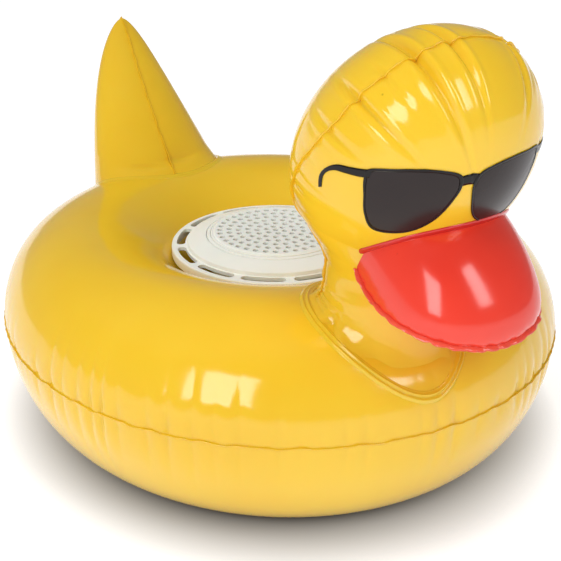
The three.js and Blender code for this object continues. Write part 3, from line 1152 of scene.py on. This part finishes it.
    def foot_weld(self, turn: float, across: float) -> Vector:
        """Returns a point of the double bead that welds the neck to the ring."""
        angle = FULL_TURN * turn
        outward = -1.5 + 7.5 * across
        pinch = 0.5 * math.sin(9 * angle + 0.6) + 0.35 * math.sin(23 * angle)
        beads = 1.5 * hump(outward - 0.9, 0.9) + 1.3 * hump(outward - 3.9 - 0.3 * pinch, 0.9)
        proud = 0.35 + beads - 0.5 * smoothstep(across, 0.85, 1.0)
        slope = self.weld_point(angle, 0.5).z - self.weld_point(angle, -0.5).z
        level = 1.0 / math.hypot(1.0, slope)
        steepness = Vector((math.sin(angle), -math.cos(angle), 0.0)) * slope
        lift = (Vector((0.0, 0.0, 1.0)) - steepness) * (level * proud)
        return self.weld_point(angle, outward * level) + lift

    def build(self, finishes: Finishes) -> None:
        """Builds the head's skin, its side seam and the neck's weld."""
        chamber = skin(320, 240, self.place)
        piece = finish_piece(
            chamber, "head_chamber", finishes.yellow, Body.FLOAT, Slot.YELLOW,
            ("head_front_panel", "head_back_panel"),
        )
        add_sheet(skin(420, 3, self.seam_fin), "head_side_weld", finishes.weld)
        add_sheet(skin(240, 14, self.foot_weld), "neck_weld_bead", finishes.yellow, BEAD_WALL)


@dataclass
class Bill:
    """The red bill: an upper and a lower panel, drooping forwards."""

    head: HeadChamber
    centre: Vector = field(default_factory=lambda: Vector((1.5, -205.0, 192.0)))
    half_width: float = 61.0
    reach: float = 60.5
    rise: float = 30.0
    drop: float = 17.0
    droop: float = 34.0
    turn: float = -4.0
    corner_pull: Vector = field(default_factory=lambda: Vector((0.0, 17.0, -13.0)))
    band_end: float = 66.0
    band_steps: int = 120
    joints: list[Vector] = field(default_factory=list)

    def axes(self) -> tuple[Vector, Vector, Vector]:
        """Returns the bill's sideways, forward and upward directions."""
        droop = math.radians(self.droop)
        turn = Matrix.Rotation(math.radians(self.turn), 3, "Z")
        side = turn @ Vector((1.0, 0.0, 0.0))
        forward = turn @ Vector((0.0, -math.cos(droop), -math.sin(droop)))
        up = turn @ Vector((0.0, -math.sin(droop), math.cos(droop)))
        return side, forward, up

    def dome(self, angle: float, climb: float, proud: float = 0.0) -> Vector:
        """Returns a point of the bill.

        Args:
            angle: Angle from the front, in radians.
            climb: Angle up from the rim, in radians, negative under it.
            proud: How far the point stands off the skin.

        Returns:
            The point in millimetres.
        """
        side, forward, up = self.axes()
        from_rim = abs(climb) * 40.0
        run = angle * 62.0
        wander = 0.8 * math.sin(run / 17.0 + 0.4) + 0.5 * math.sin(run / 6.1)
        valley = gathers(math.pi * run / 11.5 + wander)
        depth = valley * hump(from_rim, 8.0, 1.3) + 0.5 * hump(from_rim, 2.4)
        height = (self.rise if climb > 0 else self.drop) + proud
        swell = proud - depth
        sideways = math.cos(climb) * math.sin(angle)
        ahead = math.cos(climb) * math.cos(angle)
        taper = 1.0 - 0.22 * sideways**2 - 0.26 * sideways**4
        point = self.centre + side * ((self.half_width + swell) * (sideways - 0.18 * sideways**5))
        point += forward * ((self.reach + swell) * ahead)
        return point + up * (height * math.sin(climb) * taper) + self.corner_pull * sideways**4

    def place(self, turn: float, along: float) -> Vector:
        """Returns a point of the bill's skin."""
        rise = 2.0 * along - 1.0
        climb = 0.5 * math.pi * math.copysign(abs(rise) ** 1.25, rise)
        return self.dome(FULL_TURN * turn, climb)

    def rim_fin(self, share: float, across: float) -> Vector:
        """Returns a point of the pale weld edge round the bill's front."""
        angle = math.radians(mix(-100.0, 100.0, share))
        ripple = 0.35 * math.sin(angle * 43.0) + 0.2 * math.sin(angle * 71.0)
        base = self.dome(angle, 0.0, mix(-1.5, 3.0, across))
        return base + self.axes()[2] * (ripple * across)

    def meeting(self, side: float) -> Vector:
        """Returns the point where the bill's upper dome runs into the face.

        Args:
            side: Angle towards the bill's left corner, in radians, 0 in the middle.

        Returns:
            The point in millimetres.
        """

        def sweep(over: float) -> Vector:
            climb = math.asin(math.cos(side) * math.sin(over))
            return self.dome(math.atan2(math.sin(side), math.cos(side) * math.cos(over)), climb)

        def clear_of_face(over: float) -> bool:
            point = sweep(over)
            return point.y < self.head.smooth_point(*self.head.find(point.x, point.z)).y

        return sweep(halved(0.0, math.pi, 14, clear_of_face))

    def face_band(self, share: float, across: float) -> Vector:
        """Returns a point of the flat band that welds the bill's top edge to the face."""
        joint = self.joints[round(share * (len(self.joints) - 1))]
        away = Vector((joint.x - self.centre.x, 0.0, joint.z - self.centre.z + 12.0)).normalized()
        end = min(1.0, 9.0 * math.sin(math.pi * share)) ** 0.5
        spot = joint + away * (1.0 - 2.5 * math.cos(FULL_TURN * across) * end)
        proud = 0.2 + 0.9 * math.sin(FULL_TURN * across) * end
        return self.head.skin_point(*self.head.find(spot.x, spot.z), proud)

    def build(self, finishes: Finishes) -> None:
        """Builds the bill's skin, its rim and the band on the face."""
        chamber = skin(220, 96, self.place)
        piece = finish_piece(
            chamber, "bill_chamber", finishes.red, Body.FLOAT, Slot.RED,
            ("bill_upper_panel", "bill_lower_panel"),
        )
        add_sheet(skin(240, 3, self.rim_fin), "bill_rim_weld", finishes.red_edge, slot=Slot.RED)
        self.joints = [
            self.meeting(math.radians(mix(-self.band_end, self.band_end, step / self.band_steps)))
            for step in range(self.band_steps + 1)
        ]
        band = skin(self.band_steps, 12, self.face_band)
        finish_piece(band, "bill_face_weld", finishes.red_weld, Body.FLOAT, Slot.RED)


@dataclass
class TailChamber:
    """The upright tail: a right and a left panel with a seam down the front and back."""

    ring: RingChamber
    foot: Vector = field(default_factory=lambda: Vector((-23.0, 172.0, 146.0)))
    half_width: float = 55.0
    half_depth: float = 44.0
    lean: float = 82.6
    tip_bend: float = 9.0
    leaf_end: float = 0.78
    weld: float = 0.96
    leaf_foot: float = 0.14
    top: float = field(default_factory=lambda: corners("tail_left_panel")[1].z - 3.0)

    def leaf_point(self, rise: float, angle: float) -> Vector:
        """Returns a point of the straight leaf at a share of its height."""
        taper = (1.0 - rise) ** 0.62
        x = self.foot.x + self.half_width * taper * math.sin(angle)
        y = self.foot.y + self.lean * rise - self.half_depth * taper * math.cos(angle)
        return Vector((x, y, mix(self.foot.z, self.top, rise)))

    def smooth_point(self, along: float, angle: float) -> Vector:
        """Returns a point of the unfolded tail, from the tip down to below its weld."""
        if along < self.leaf_end:
            rise = 1.0 - (1.0 - self.leaf_foot) * (along / self.leaf_end) ** 1.5
            return self.leaf_point(rise, angle) + Vector((self.tip_bend * rise**3, 0.0, 0.0))
        upper = self.leaf_point(self.leaf_foot, angle)
        foot = self.weld_point(angle)
        if along < self.weld:
            x, y = mix(upper.x, foot.x, 0.5), mix(upper.y, foot.y, 0.4)
            pull = Vector((x, y, mix(foot.z, upper.z, 0.42)))
            return bowed(upper, pull, foot, span(along, self.leaf_end, self.weld))
        sink = span(along, self.weld, 1.0)
        middle = Vector((self.foot.x, self.foot.y, self.ring.height_at(self.foot.x, self.foot.y) - 3.0))
        return foot.lerp(middle, sink) - Vector((0.0, 0.0, 2.0 * min(1.0, 8.0 * sink)))

    def weld_point(self, angle: float, outward: float = 0.0) -> Vector:
        """Returns the point where the tail is welded to the ring, or one further out on the ring."""
        x = self.foot.x + (self.half_width + 1.0 + outward) * math.sin(angle)
        y = self.foot.y - (self.half_depth - 2.0 + outward) * math.cos(angle)
        return Vector((x, y, self.ring.height_at(x, y)))

    def fold_depth(self, along: float, angle: float) -> float:
        """Returns how far folds draw the tail's skin in."""
        across = math.asin(math.sin(angle)) * 45.0 * max(0.15, min(1.0, along + 0.2))
        run = math.copysign(along * 150.0, math.cos(angle))
        valley = gathers(math.pi * run / 13.0 + 0.8 * math.sin(run / 21.0))
        depth = 0.55 * valley * hump(across, 8.0, 1.4) + 0.4 * hump(across, 2.4)
        fold = hump(along - 0.8, 0.045) * hump(angle - 0.25, 0.3)
        crease = hump(along - 0.86, 0.03) * hump(angle + 0.5, 0.25)
        return depth + 3.0 * fold + 1.6 * crease

    def skin_point(self, along: float, angle: float) -> Vector:
        """Returns a point of the tail's finished skin."""
        here = self.smooth_point(along, angle)
        if along > 0.95 or along < 1e-4:
            return here
        step = 0.003
        around = self.smooth_point(along, angle + step) - self.smooth_point(along, angle - step)
        down = self.smooth_point(along + step, angle) - self.smooth_point(max(0.0, along - step), angle)
        normal = down.cross(around).normalized()
        if normal.dot(Vector((math.sin(angle), -math.cos(angle), 0.0))) < 0:
            normal.negate()
        return here - normal * (self.fold_depth(along, angle) * smoothstep(along, 0.0, 0.12))

    def place(self, turn: float, along: float) -> Vector:
        """Returns a point of the skin for a share of a turn from the front."""
        return self.skin_point(along, math.remainder(FULL_TURN * turn, FULL_TURN))

    def seam_fin(self, share: float, across: float) -> Vector:
        """Returns a point of the flat weld edge that runs from front to back over the tip."""
        run = 2.0 * share - 1.0
        angle = 0.0 if run < 0 else math.pi
        along = abs(run) * 0.95
        base = self.smooth_point(along, angle)
        forward = -math.cos(angle) * smoothstep(along, 0.0, 0.1)
        outward = Vector((0.0, forward, 1.0 - 0.9 * smoothstep(along, 0.0, 0.25))).normalized()
        ripple = 0.2 * math.sin(run * 47.0) + 0.15 * math.sin(run * 83.0)
        return base + outward * mix(-1.4, 1.5, across) + Vector((ripple * across, 0.0, 0.0))

    def foot_weld(self, turn: float, across: float) -> Vector:
        """Returns a point of the band that welds the tail to the ring."""
        outward = -1.5 + 7.0 * across
        point = self.weld_point(FULL_TURN * turn, outward)
        point.z += 0.35 + 1.1 * hump(outward - 1.6, 1.1) - 0.5 * smoothstep(across, 0.8, 1.0)
        return point

    def build(self, finishes: Finishes) -> None:
        """Builds the tail's skin, its seam and its weld to the ring."""
        chamber = skin(200, 110, self.place)
        piece = finish_piece(
            chamber, "tail_chamber", finishes.yellow, Body.FLOAT, Slot.YELLOW,
            ("tail_right_panel", "tail_left_panel"),
        )
        add_sheet(skin(300, 3, self.seam_fin), "tail_middle_weld", finishes.weld)
        add_sheet(skin(200, 10, self.foot_weld), "tail_weld_bead", finishes.yellow, BEAD_WALL)


@dataclass
class Sunglasses:
    """A print of plain sunglasses on the head's front panel.

    Places on the face are an angle round the head in degrees, and a height in millimetres.
    """

    head: HeadChamber
    middle: float = -12.5
    lens_tilt: float = 0.085
    degree_width: float = 1.25
    lens_knots: Outline = (
        (46.0, 256.0), (34.5, 257.5), (25.0, 258.0), (14.5, 257.0), (5.8, 254.0),
        (3.4, 247.0), (4.6, 239.0), (8.5, 227.5), (15.0, 220.0), (23.5, 217.3),
        (33.5, 219.5), (39.5, 229.5), (43.5, 242.0), (45.8, 250.0),
    )

    def on_face(self, angle: float, height: float, proud: float) -> Vector:
        """Returns the point of the head's skin at an angle and a height.

        Args:
            angle: Angle from the middle of the glasses, in degrees.
            height: Height above the floor, in millimetres.
            proud: How far the ink stands off the skin.

        Returns:
            The point in millimetres.
        """
        turn = math.radians(angle + self.middle)
        along = halved(0.15, 0.6, 18, lambda share: self.head.smooth_point(share, turn).z > height)
        return self.head.skin_point(along, turn, proud)

    def lens_edge(self, share: float, side: int) -> tuple[float, float]:
        """Follows one lens's edge once round.

        Args:
            share: Share of the way round, from the outer end of the top edge.
            side: -1 for the lens on the duck's right, 1 for the other.

        Returns:
            Angle from the middle of the glasses and height.
        """
        count = len(self.lens_knots)
        spot = (share % 1.0) * count
        first = int(spot)
        knots = [self.lens_knots[(first + shift) % count] for shift in (-1, 0, 1, 2)]
        angle, height = spline(knots, spot - first)
        tilt = self.lens_tilt * angle if side > 0 else 0.0
        return side * angle, height + tilt

    def lens_centre(self, side: int) -> tuple[float, float]:
        """Returns the angle and height of one lens's middle."""
        return side * 24.5, 240.0 if side > 0 else 238.0

    def lens_point(self, side: int, turn: float, share: float, proud: float) -> Vector:
        """Returns a point of one lens at a share of the way from its middle to its edge."""
        angle, height = self.lens_edge(turn, side)
        centre = self.lens_centre(side)
        return self.on_face(mix(centre[0], angle, share), mix(centre[1], height, share), proud)

    def lens(self, side: int) -> bmesh.types.BMesh:
        """Builds the dark fill of one lens."""
        return skin(96, 14, lambda turn, out: self.lens_point(side, turn, out, 0.3))

    def lens_frame(self, side: int) -> bmesh.types.BMesh:
        """Builds the black line round one lens, which is heavier along the brow."""

        def place(turn: float, out: float) -> Vector:
            height = self.lens_edge(turn, side)[1]
            heavy = mix(0.015, 0.045, smoothstep(height, 240.0, 252.0))
            return self.lens_point(side, turn, mix(0.972, 1.0 + heavy, out), 0.55)

        return thickened(skin(128, 3, place), PRINT_WALL)

    def strip(self, path: Sequence[tuple[float, float, float]], steps: int = 60) -> bmesh.types.BMesh:
        """Builds a printed line along a smooth path.

        Args:
            path: Angle, height and half-width of the line at each knot.
            steps: Number of steps along the line.

        Returns:
            The line's thin mesh.
        """

        knots = (path[0], *path, path[-1])

        def along_path(share: float) -> list[float]:
            spans = len(path) - 1
            spot = min(share * spans, spans - 1e-6)
            first = int(spot)
            return spline(knots[first : first + 4], spot - first)

        def place(share: float, across: float) -> Vector:
            angle, height, half = along_path(share)
            ahead = along_path(min(1.0, share + 0.01))
            behind = along_path(max(0.0, share - 0.01))
            run = Vector(((ahead[0] - behind[0]) * self.degree_width, ahead[1] - behind[1])).normalized()
            offset = (2.0 * across - 1.0) * half
            turn = angle - offset * run.y / self.degree_width
            return self.on_face(turn, height + offset * run.x, 0.42)

        return thickened(skin(steps, 4, place), PRINT_WALL)

    def build(self, finishes: Finishes) -> None:
        """Prints the lenses, the frame, the bridge and the temples."""
        for label, side in (("right", -1), ("left", 1)):
            add_sheet(self.lens(side), f"{label}_lens_print", finishes.lens_ink, PRINT_WALL)
        lines = [self.lens_frame(-1), self.lens_frame(1)]
        bridge = (
            (-4.2, 250.6, 3.0), (-2.0, 251.3, 3.1), (0.0, 251.6, 3.1), (2.0, 251.6, 3.1), (4.2, 251.4, 3.0),
        )
        lines.append(self.strip(bridge, 24))
        for side in (-1, 1):
            lift = 3.5 if side > 0 else 0.0
            temple = [
                (side * angle, height + raised * lift, half)
                for angle, height, half, raised in (
                    (44.8, 254.2, 2.5, 1.0), (50.0, 254.0, 2.3, 1.0), (56.0, 254.2, 2.0, 1.1),
                    (62.0, 254.2, 1.8, 1.3), (66.0, 251.5, 1.5, 1.4), (67.4, 247.0, 1.4, 1.4),
                    (65.5, 240.0, 1.1, 1.4),
                )
            ]
            lines.append(self.strip(temple, 90))
        finish_piece(merged(lines), "glasses_frame_print", finishes.black_ink, Body.FLOAT, Slot.YELLOW)


@dataclass
class AirValve:
    """A pinch valve with a push-in plug, on a stem that sticks out of the skin."""

    name: str
    axis: Vector
    plug_body: Body
    flange: float = 12.0
    stem: float = 5.0
    bore: float = 3.3
    sink: float = 9.0
    proud: float = 6.0

    def seat(self) -> Matrix:
        """Returns the placing of the valve's own axes on the skin."""
        low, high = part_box(f"{self.name}_valve_flap")
        middle = (Vector(low) + Vector(high)) / 2.0 / MM
        origin = middle + self.axis * (self.sink + 0.8)
        turn = self.axis.to_track_quat("Z", "Y").to_matrix().to_4x4()
        return Matrix.Translation(origin) @ turn

    def fitted(self, shape: bmesh.types.BMesh) -> bmesh.types.BMesh:
        """Moves a part of the valve from its own axes to the skin."""
        bmesh.ops.transform(shape, matrix=self.seat(), verts=shape.verts)
        return shape

    def build(self, finishes: Finishes) -> None:
        """Builds the valve's stem, flap and plug."""
        stem = eased((
            (self.bore, -self.sink), (self.stem, -self.sink), (self.stem, 0.3), (self.flange, 0.3),
            (self.flange, 1.1), (self.stem, 1.6), (self.stem, self.proud), (self.bore, self.proud),
        ), 0.35, 3)
        self.part(turned(stem, 64), "stem", Body.FLOAT, finishes)
        radius, low, high = self.stem - 0.6, -self.sink - 1.1, -self.sink - 0.5
        flap = ((0.0, low), (radius, low), (radius, high), (0.0, high))
        self.part(turned(eased(flap, 0.2, 2), 48), "flap", Body.FLOAT, finishes)
        shank = self.bore - 0.35
        cap = self.stem + 1.0
        under, rim, dish = self.proud + 0.4, self.proud + 2.2, self.proud + 1.7
        plug = eased((
            (0.0, -1.0), (shank, -1.0), (shank, under), (cap, under), (cap, rim), (cap - 1.4, rim),
            (cap - 2.0, dish), (0.0, dish),
        ), 0.4, 3)
        self.part(turned(plug, 64), "plug", self.plug_body, finishes)

    def part(self, shape: bmesh.types.BMesh, what: str, body: Body, finishes: Finishes) -> None:
        """Dresses one part of the valve."""
        node = f"{self.name}_valve_{what}"
        finish_piece(self.fitted(shape), f"{node}_vinyl", finishes.clear, body, Slot.CLEAR, (node,), 50.0)


# ---------------------------------------------------------------------------
# The dispenser
# ---------------------------------------------------------------------------


@dataclass
class Dispenser:
    """The tablet dispenser that stands in the ring's hole."""

    segments: int = 192
    slot_count: int = 12
    slot_start: float = 23.0
    dosing_count: int = 8
    hole_rows: int = 6
    hole_pitch: float = 7.15

    def around(
        self, count: int, make: Callable[[float], bmesh.types.BMesh], start: float = 0.0
    ) -> bmesh.types.BMesh:
        """Repeats a shape round the axis."""
        return merged(make(start + 360.0 * index / count) for index in range(count))

    def standing(self, profile: Outline, reach: float, turn: float, segments: int = 20) -> bmesh.types.BMesh:
        """Turns a small profile and stands it off the axis, at an angle in degrees."""
        bar = turned(profile, segments)
        bmesh.ops.translate(bar, vec=polar(reach, math.radians(turn)), verts=bar.verts)
        return bar

    def screw_holes(self, radius: float, bottom: float, top: float, reach: float) -> bmesh.types.BMesh:
        """Makes the solids of the four holes that a ring of screws goes through."""
        profile = ((0.0, bottom), (radius, bottom), (radius, top), (0.0, top))
        return self.around(4, lambda turn: self.standing(profile, reach, turn), 45.0)

    def dosing_slots(self) -> bmesh.types.BMesh:
        """Makes the solids of the slots that let water through the canister."""
        size, centre = (10.0, 9.0, 36.0), (48.5, 0.0, 42.0)
        return self.around(self.dosing_count, lambda turn: slab(size, centre, turn), 22.5)

    def flange(self) -> bmesh.types.BMesh:
        """Builds the flange with its slotted rim and the sunken seat for the lid."""
        outline = eased((
            (46.2, 119.0), (55.6, 119.0), (57.2, 128.4), (77.0, 128.4), (77.0, 123.2), (79.2, 123.2),
            (80.0, 124.0), (80.0, 130.2), (79.3, 131.0), (68.3, 131.0), (67.6, 133.8), (53.45, 138.0),
            (53.45, 135.2), (51.2, 135.2), (51.2, 132.0), (53.6, 132.0), (53.6, 121.5), (46.2, 121.5),
        ), 0.45, 3)
        slots = self.around(
            self.slot_count, lambda turn: arc_slot(69.6, 76.2, turn, 25.5, 120.0, 140.0), self.slot_start
        )
        notches = self.around(3, lambda turn: arc_slot(49.0, 53.25, turn, 19.0, 131.0, 136.0))
        holes = self.screw_holes(1.9, 115.0, 122.0, 51.0)
        return carved(turned(outline, self.segments), slots, notches, holes)

    def lid(self) -> bmesh.types.BMesh:
        """Builds the lid with its rings of round holes."""
        outline = eased((
            (0.0, 138.3), (46.6, 138.3), (46.6, 123.6), (49.9, 123.6), (49.9, 125.2), (48.6, 126.0),
            (48.6, 136.9), (50.05, 136.9), (50.05, 139.1), (49.0, 139.6), (48.2, 139.1), (47.0, 140.0),
            (0.0, 140.0),
        ), 0.35, 2)
        return carved(turned(outline, self.segments), self.lid_holes())

    def lid_holes(self) -> bmesh.types.BMesh:
        """Makes the solids of the lid's holes, each with a small countersink."""
        profile = ((0.0, 136.0), (2.15, 136.0), (2.15, 139.7), (2.5, 140.5), (0.0, 140.5))
        spots = [(0.0, 0.0)]
        for row in range(1, self.hole_rows + 1):
            count, shift = 6 * row, 0.25 * (row % 2)
            spots.extend((self.hole_pitch * row, 360.0 * (spot + shift) / count) for spot in range(count))
        return merged(self.standing(profile, reach, turn, 18) for reach, turn in spots)

    def lock_ring(self) -> bmesh.types.BMesh:
        """Builds the ring with three lugs that holds the lid down."""
        outline = eased((
            (49.0, 126.4), (50.8, 126.4), (50.8, 135.6), (53.0, 135.6), (53.0, 138.1), (50.4, 138.8),
            (50.4, 136.5), (49.0, 136.5),
        ), 0.3, 2)
        lugs = self.around(3, lambda turn: arc_slot(50.0, 53.0, turn, 16.0, 128.4, 131.6))
        return merged((turned(outline, self.segments), lugs))

    def canister(self) -> bmesh.types.BMesh:
        """Builds the canister that holds the tablets."""
        outline = eased((
            (0.0, 12.0), (47.5, 12.0), (47.5, 66.4), (50.4, 66.4), (50.4, 68.4), (47.5, 71.0),
            (47.5, 116.4), (54.9, 116.4), (54.9, 118.7), (45.0, 118.7), (45.0, 15.0), (0.0, 15.0),
        ), 0.4, 2)
        flange_holes = self.screw_holes(1.9, 114.0, 122.0, 51.0)
        floor_holes = self.screw_holes(2.3, 8.0, 16.0, 34.0)
        return carved(turned(outline, 128), self.dosing_slots(), flange_holes, floor_holes)

    def collar(self) -> bmesh.types.BMesh:
        """Builds the dosing collar with grip ribs and slots."""
        sleeve = turned(eased(((47.9, 9.6), (50.4, 9.6), (50.4, 66.0), (47.9, 66.0)), 0.4, 2), 128)
        return merged((carved(sleeve, self.dosing_slots()), self.around(16, self.rib)))

    def rib(self, turn: float) -> bmesh.types.BMesh:
        """Builds one rounded grip rib; every other rib of the collar crosses a slot."""
        bar = slab((1.6, 2.6, 45.0), (50.95, 0.0, 37.5), turn)
        bmesh.ops.bevel(
            bar, geom=bar.edges[:], offset=0.4, segments=2, profile=0.5, affect="EDGES", material=-1
        )
        return bar

    def cap(self) -> bmesh.types.BMesh:
        """Builds the bottom cap with its drain slots."""
        outline = eased((
            (0.0, 5.9), (50.2, 5.9), (51.0, 6.7), (51.0, 9.2), (44.0, 9.2), (44.0, 11.6), (0.0, 11.6),
        ), 0.3, 2)
        drains = self.around(6, lambda turn: slab((20.0, 6.0, 10.0), (20.0, 0.0, 9.0), turn), 15.0)
        return carved(turned(outline, 128), drains, self.screw_holes(2.3, 4.0, 13.0, 34.0))

    def tablet(self, bottom: float, top: float, radius: float) -> bmesh.types.BMesh:
        """Builds one pressed tablet with bevelled edges."""
        edge = 2.0
        outline = (
            (0.0, bottom), (radius - edge, bottom), (radius, bottom + edge), (radius, top - edge),
            (radius - edge, top), (0.0, top),
        )
        return turned(eased(outline, 0.8, 3), 96)

    def build(self, finishes: Finishes) -> None:
        """Builds and dresses every part of the dispenser."""
        parts = (
            (self.flange, "flange_body", finishes.white, Body.DISPENSER, Slot.WHITE),
            (self.canister, "canister", finishes.white, Body.DISPENSER, Slot.WHITE),
            (self.cap, "bottom_cap", finishes.grey, Body.DISPENSER, Slot.GREY),
            (self.collar, "dosing_collar", finishes.grey, Body.SLEEVE, Slot.GREY),
            (self.lid, "perforated_lid", finishes.white, Body.LID, Slot.WHITE),
            (self.lock_ring, "lock_ring", finishes.white, Body.LOCK, Slot.WHITE),
        )
        for make, node, material, body, slot in parts:
            finish_piece(make(), f"{node}_moulding", material, body, slot, (node,), 38.0)
        # Painted shade: a thin dark disc just under the lid fills the lid's holes with dark, in place of the
        # shade inside the canister.
        hole_shade_outline = eased(((0.0, 137.6), (46.3, 137.6), (46.3, 138.2), (0.0, 138.2)), 0.1, 2)
        painted_hole_shade = turned(hole_shade_outline, self.segments)
        finish_piece(painted_hole_shade, "lid_hole_painted_shade_disc", finishes.painted_hole_shade, Body.LID, Slot.GREY, crease=38.0)
        for index in range(1, 4):
            node = f"tablet_{index}"
            low, high = corners(node)
            shape = self.tablet(low.z, high.z, high.x)
            name = f"{node}_pressed"
            finish_piece(shape, name, finishes.tablet, Body.DISPENSER, Slot.TABLET, (node,), 40.0)
        for name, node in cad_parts.items():
            if "screw" in name:
                for index in range(len(node.material_slots)):
                    node.material_slots[index].material = finishes.steel


# ---------------------------------------------------------------------------
# The studio
# ---------------------------------------------------------------------------


@dataclass
class Studio:
    """A pale floor, soft boxes and the camera."""

    azimuth: float = -30.0
    elevation: float = 25.9
    distance: float = 0.8
    aim: float = 0.0757
    lens: float = 64.6
    shift: tuple[float, float] = (0.0082, 0.044)
    box_height: float = 0.9
    # Inner and outer radius in metres of the ramp at the rim of the floor's painted contact shadow.
    shadow_edges: tuple[float, float] = (0.163, 0.222)

    def direction(self, azimuth: float, elevation: float) -> Vector:
        """Returns the direction towards an azimuth from -Y and an elevation."""
        turn, climb = math.radians(azimuth), math.radians(elevation)
        return Vector((math.sin(turn) * math.cos(climb), -math.cos(turn) * math.cos(climb), math.sin(climb)))

    def stand(
        self, thing: bpy.types.Object, target: Vector, azimuth: float, elevation: float, distance: float
    ) -> None:
        """Stands an object off a target and turns it to face it."""
        thing.location = target + self.direction(azimuth, elevation) * distance
        thing.rotation_euler = (target - thing.location).to_track_quat("-Z", "Y").to_euler()

    def camera(self) -> None:
        """Places the camera."""
        data = bpy.data.cameras.new("camera")
        camera = linked("camera", data)
        self.stand(camera, Vector((0.0, 0.0, self.aim)), self.azimuth, self.elevation, self.distance)
        data.lens = self.lens
        data.sensor_width = 36.0
        data.shift_x, data.shift_y = self.shift
        data.clip_start = 0.01
        bpy.context.scene.camera = camera

    def soft_box(
        self, name: str, azimuth: float, elevation: float, width: float, power: float, distance: float
    ) -> None:
        """Hangs a tall rectangular soft box that faces the object.

        Args:
            name: The light's name.
            azimuth: Where it stands, in degrees from -Y.
            elevation: How high it stands, in degrees.
            width: Width in metres.
            power: Power in watts.
            distance: Distance from the object in metres.
        """
        data = bpy.data.lights.new(name, "AREA")
        data.shape = "RECTANGLE"
        data.size, data.size_y = width, self.box_height
        data.energy = power
        self.stand(linked(name, data), Vector((0.0, -0.05, 0.15)), azimuth, elevation, distance)

    def overhead(self) -> None:
        """Lights the whole table evenly from above, as a large ceiling panel does."""
        data = bpy.data.lights.new("overhead_panel", "SUN")
        data.angle = math.radians(65.0)
        data.energy = 1.6
        light = linked("overhead_panel", data)
        light.rotation_euler = (math.radians(-18.0), math.radians(-12.0), 0.0)
        light.visible_glossy = False

    def floor(self) -> None:
        """Lays the white floor, which glows outside an oval round the object; inside the oval it is dark
        grey, a painted contact shadow.
        """
        plane = bmesh.new()
        bmesh.ops.create_grid(plane, x_segments=8, y_segments=8, size=14.0)
        floor = as_object(plane, "studio_floor")
        material, nodes, shader = start_material("studio_floor_paper")
        place = nodes.add("ShaderNodeTexCoord").outputs["Object"]
        shade = nodes.ramp(nodes.noise(place, 4.0, 3.0), 0.3, 0.7)
        shader.inputs["Roughness"].default_value = 0.9
        shader.inputs["Specular IOR Level"].default_value = 0.1
        flat = nodes.add("ShaderNodeVectorMath", operation="MULTIPLY")
        flat.inputs[1].default_value = (1.0, 0.94, 0.0)
        nodes.link(place, flat.inputs[0])
        reach = nodes.add("ShaderNodeVectorMath", operation="LENGTH")
        nodes.link(flat.outputs["Vector"], reach.inputs[0])
        # Share of the way out of the painted contact shadow, by the distance from the object's foot.
        away = nodes.ramp(reach.outputs["Value"], *self.shadow_edges)
        paper = colour_mix(nodes, shade, (0.5, 0.5, 0.51), (0.48, 0.48, 0.49))
        # Painted shadow: inside the oval the paper is a darker grey.
        nodes.link(colour_mix(nodes, away, (0.2, 0.2, 0.205), paper), shader.inputs["Base Color"])
        # Painted shadow: the floor glows only outside the oval, so it stays dark round the object's foot.
        glow_outside_painted_shadow = colour_mix(nodes, away, (0.0, 0.0, 0.0), (1.0, 1.0, 1.0))
        nodes.link(glow_outside_painted_shadow, shader.inputs["Emission Color"])
        shader.inputs["Emission Strength"].default_value = 0.72
        floor.data.materials.append(material)

    def sky(self) -> None:
        """Fills the studio with soft light that is paler near the floor."""
        world = bpy.data.worlds.new("studio")
        world.use_nodes = True
        bpy.context.scene.world = world
        nodes = Nodes(world.node_tree)
        place = nodes.add("ShaderNodeTexCoord").outputs["Generated"]
        split = nodes.add("ShaderNodeSeparateXYZ")
        nodes.link(place, split.inputs[0])
        share = nodes.ramp(split.outputs["Z"], 0.05, 0.75)
        colour = colour_mix(nodes, share, (1.0, 1.0, 1.0), (0.42, 0.42, 0.43))
        background = nodes.add("ShaderNodeBackground")
        nodes.link(colour, background.inputs["Color"])
        background.inputs["Strength"].default_value = 0.3
        output = nodes.add("ShaderNodeOutputWorld")
        nodes.link(background.outputs[0], output.inputs["Surface"])

    def build(self) -> None:
        """Sets up the whole studio."""
        self.camera()
        self.floor()
        self.sky()
        self.overhead()
        self.soft_box("left_soft_box", -58.0, 26.0, 0.5, 8.0, 1.5)
        self.soft_box("right_soft_box", 14.0, 38.0, 0.35, 6.0, 1.6)
        settings = bpy.context.scene.view_settings
        settings.view_transform = "Standard"
        settings.look = "None"


def main() -> None:
    """Builds the duck float, its dispenser and the studio."""
    Studio().build()
    finishes = Finishes()
    ring = RingChamber()
    ring.build(finishes)
    head = HeadChamber(ring)
    head.build(finishes)
    Bill(head).build(finishes)
    Sunglasses(head).build(finishes)
    TailChamber(ring).build(finishes)
    AirValve("ring", Vector((0.619743, 0.520026, 0.587785)), Body.RING_PLUG).build(finishes)
    AirValve("head", Vector((0.912107, 0.409951, 0.0)), Body.HEAD_PLUG).build(finishes)
    Dispenser().build(finishes)


if __name__ == "__main__":
    main()
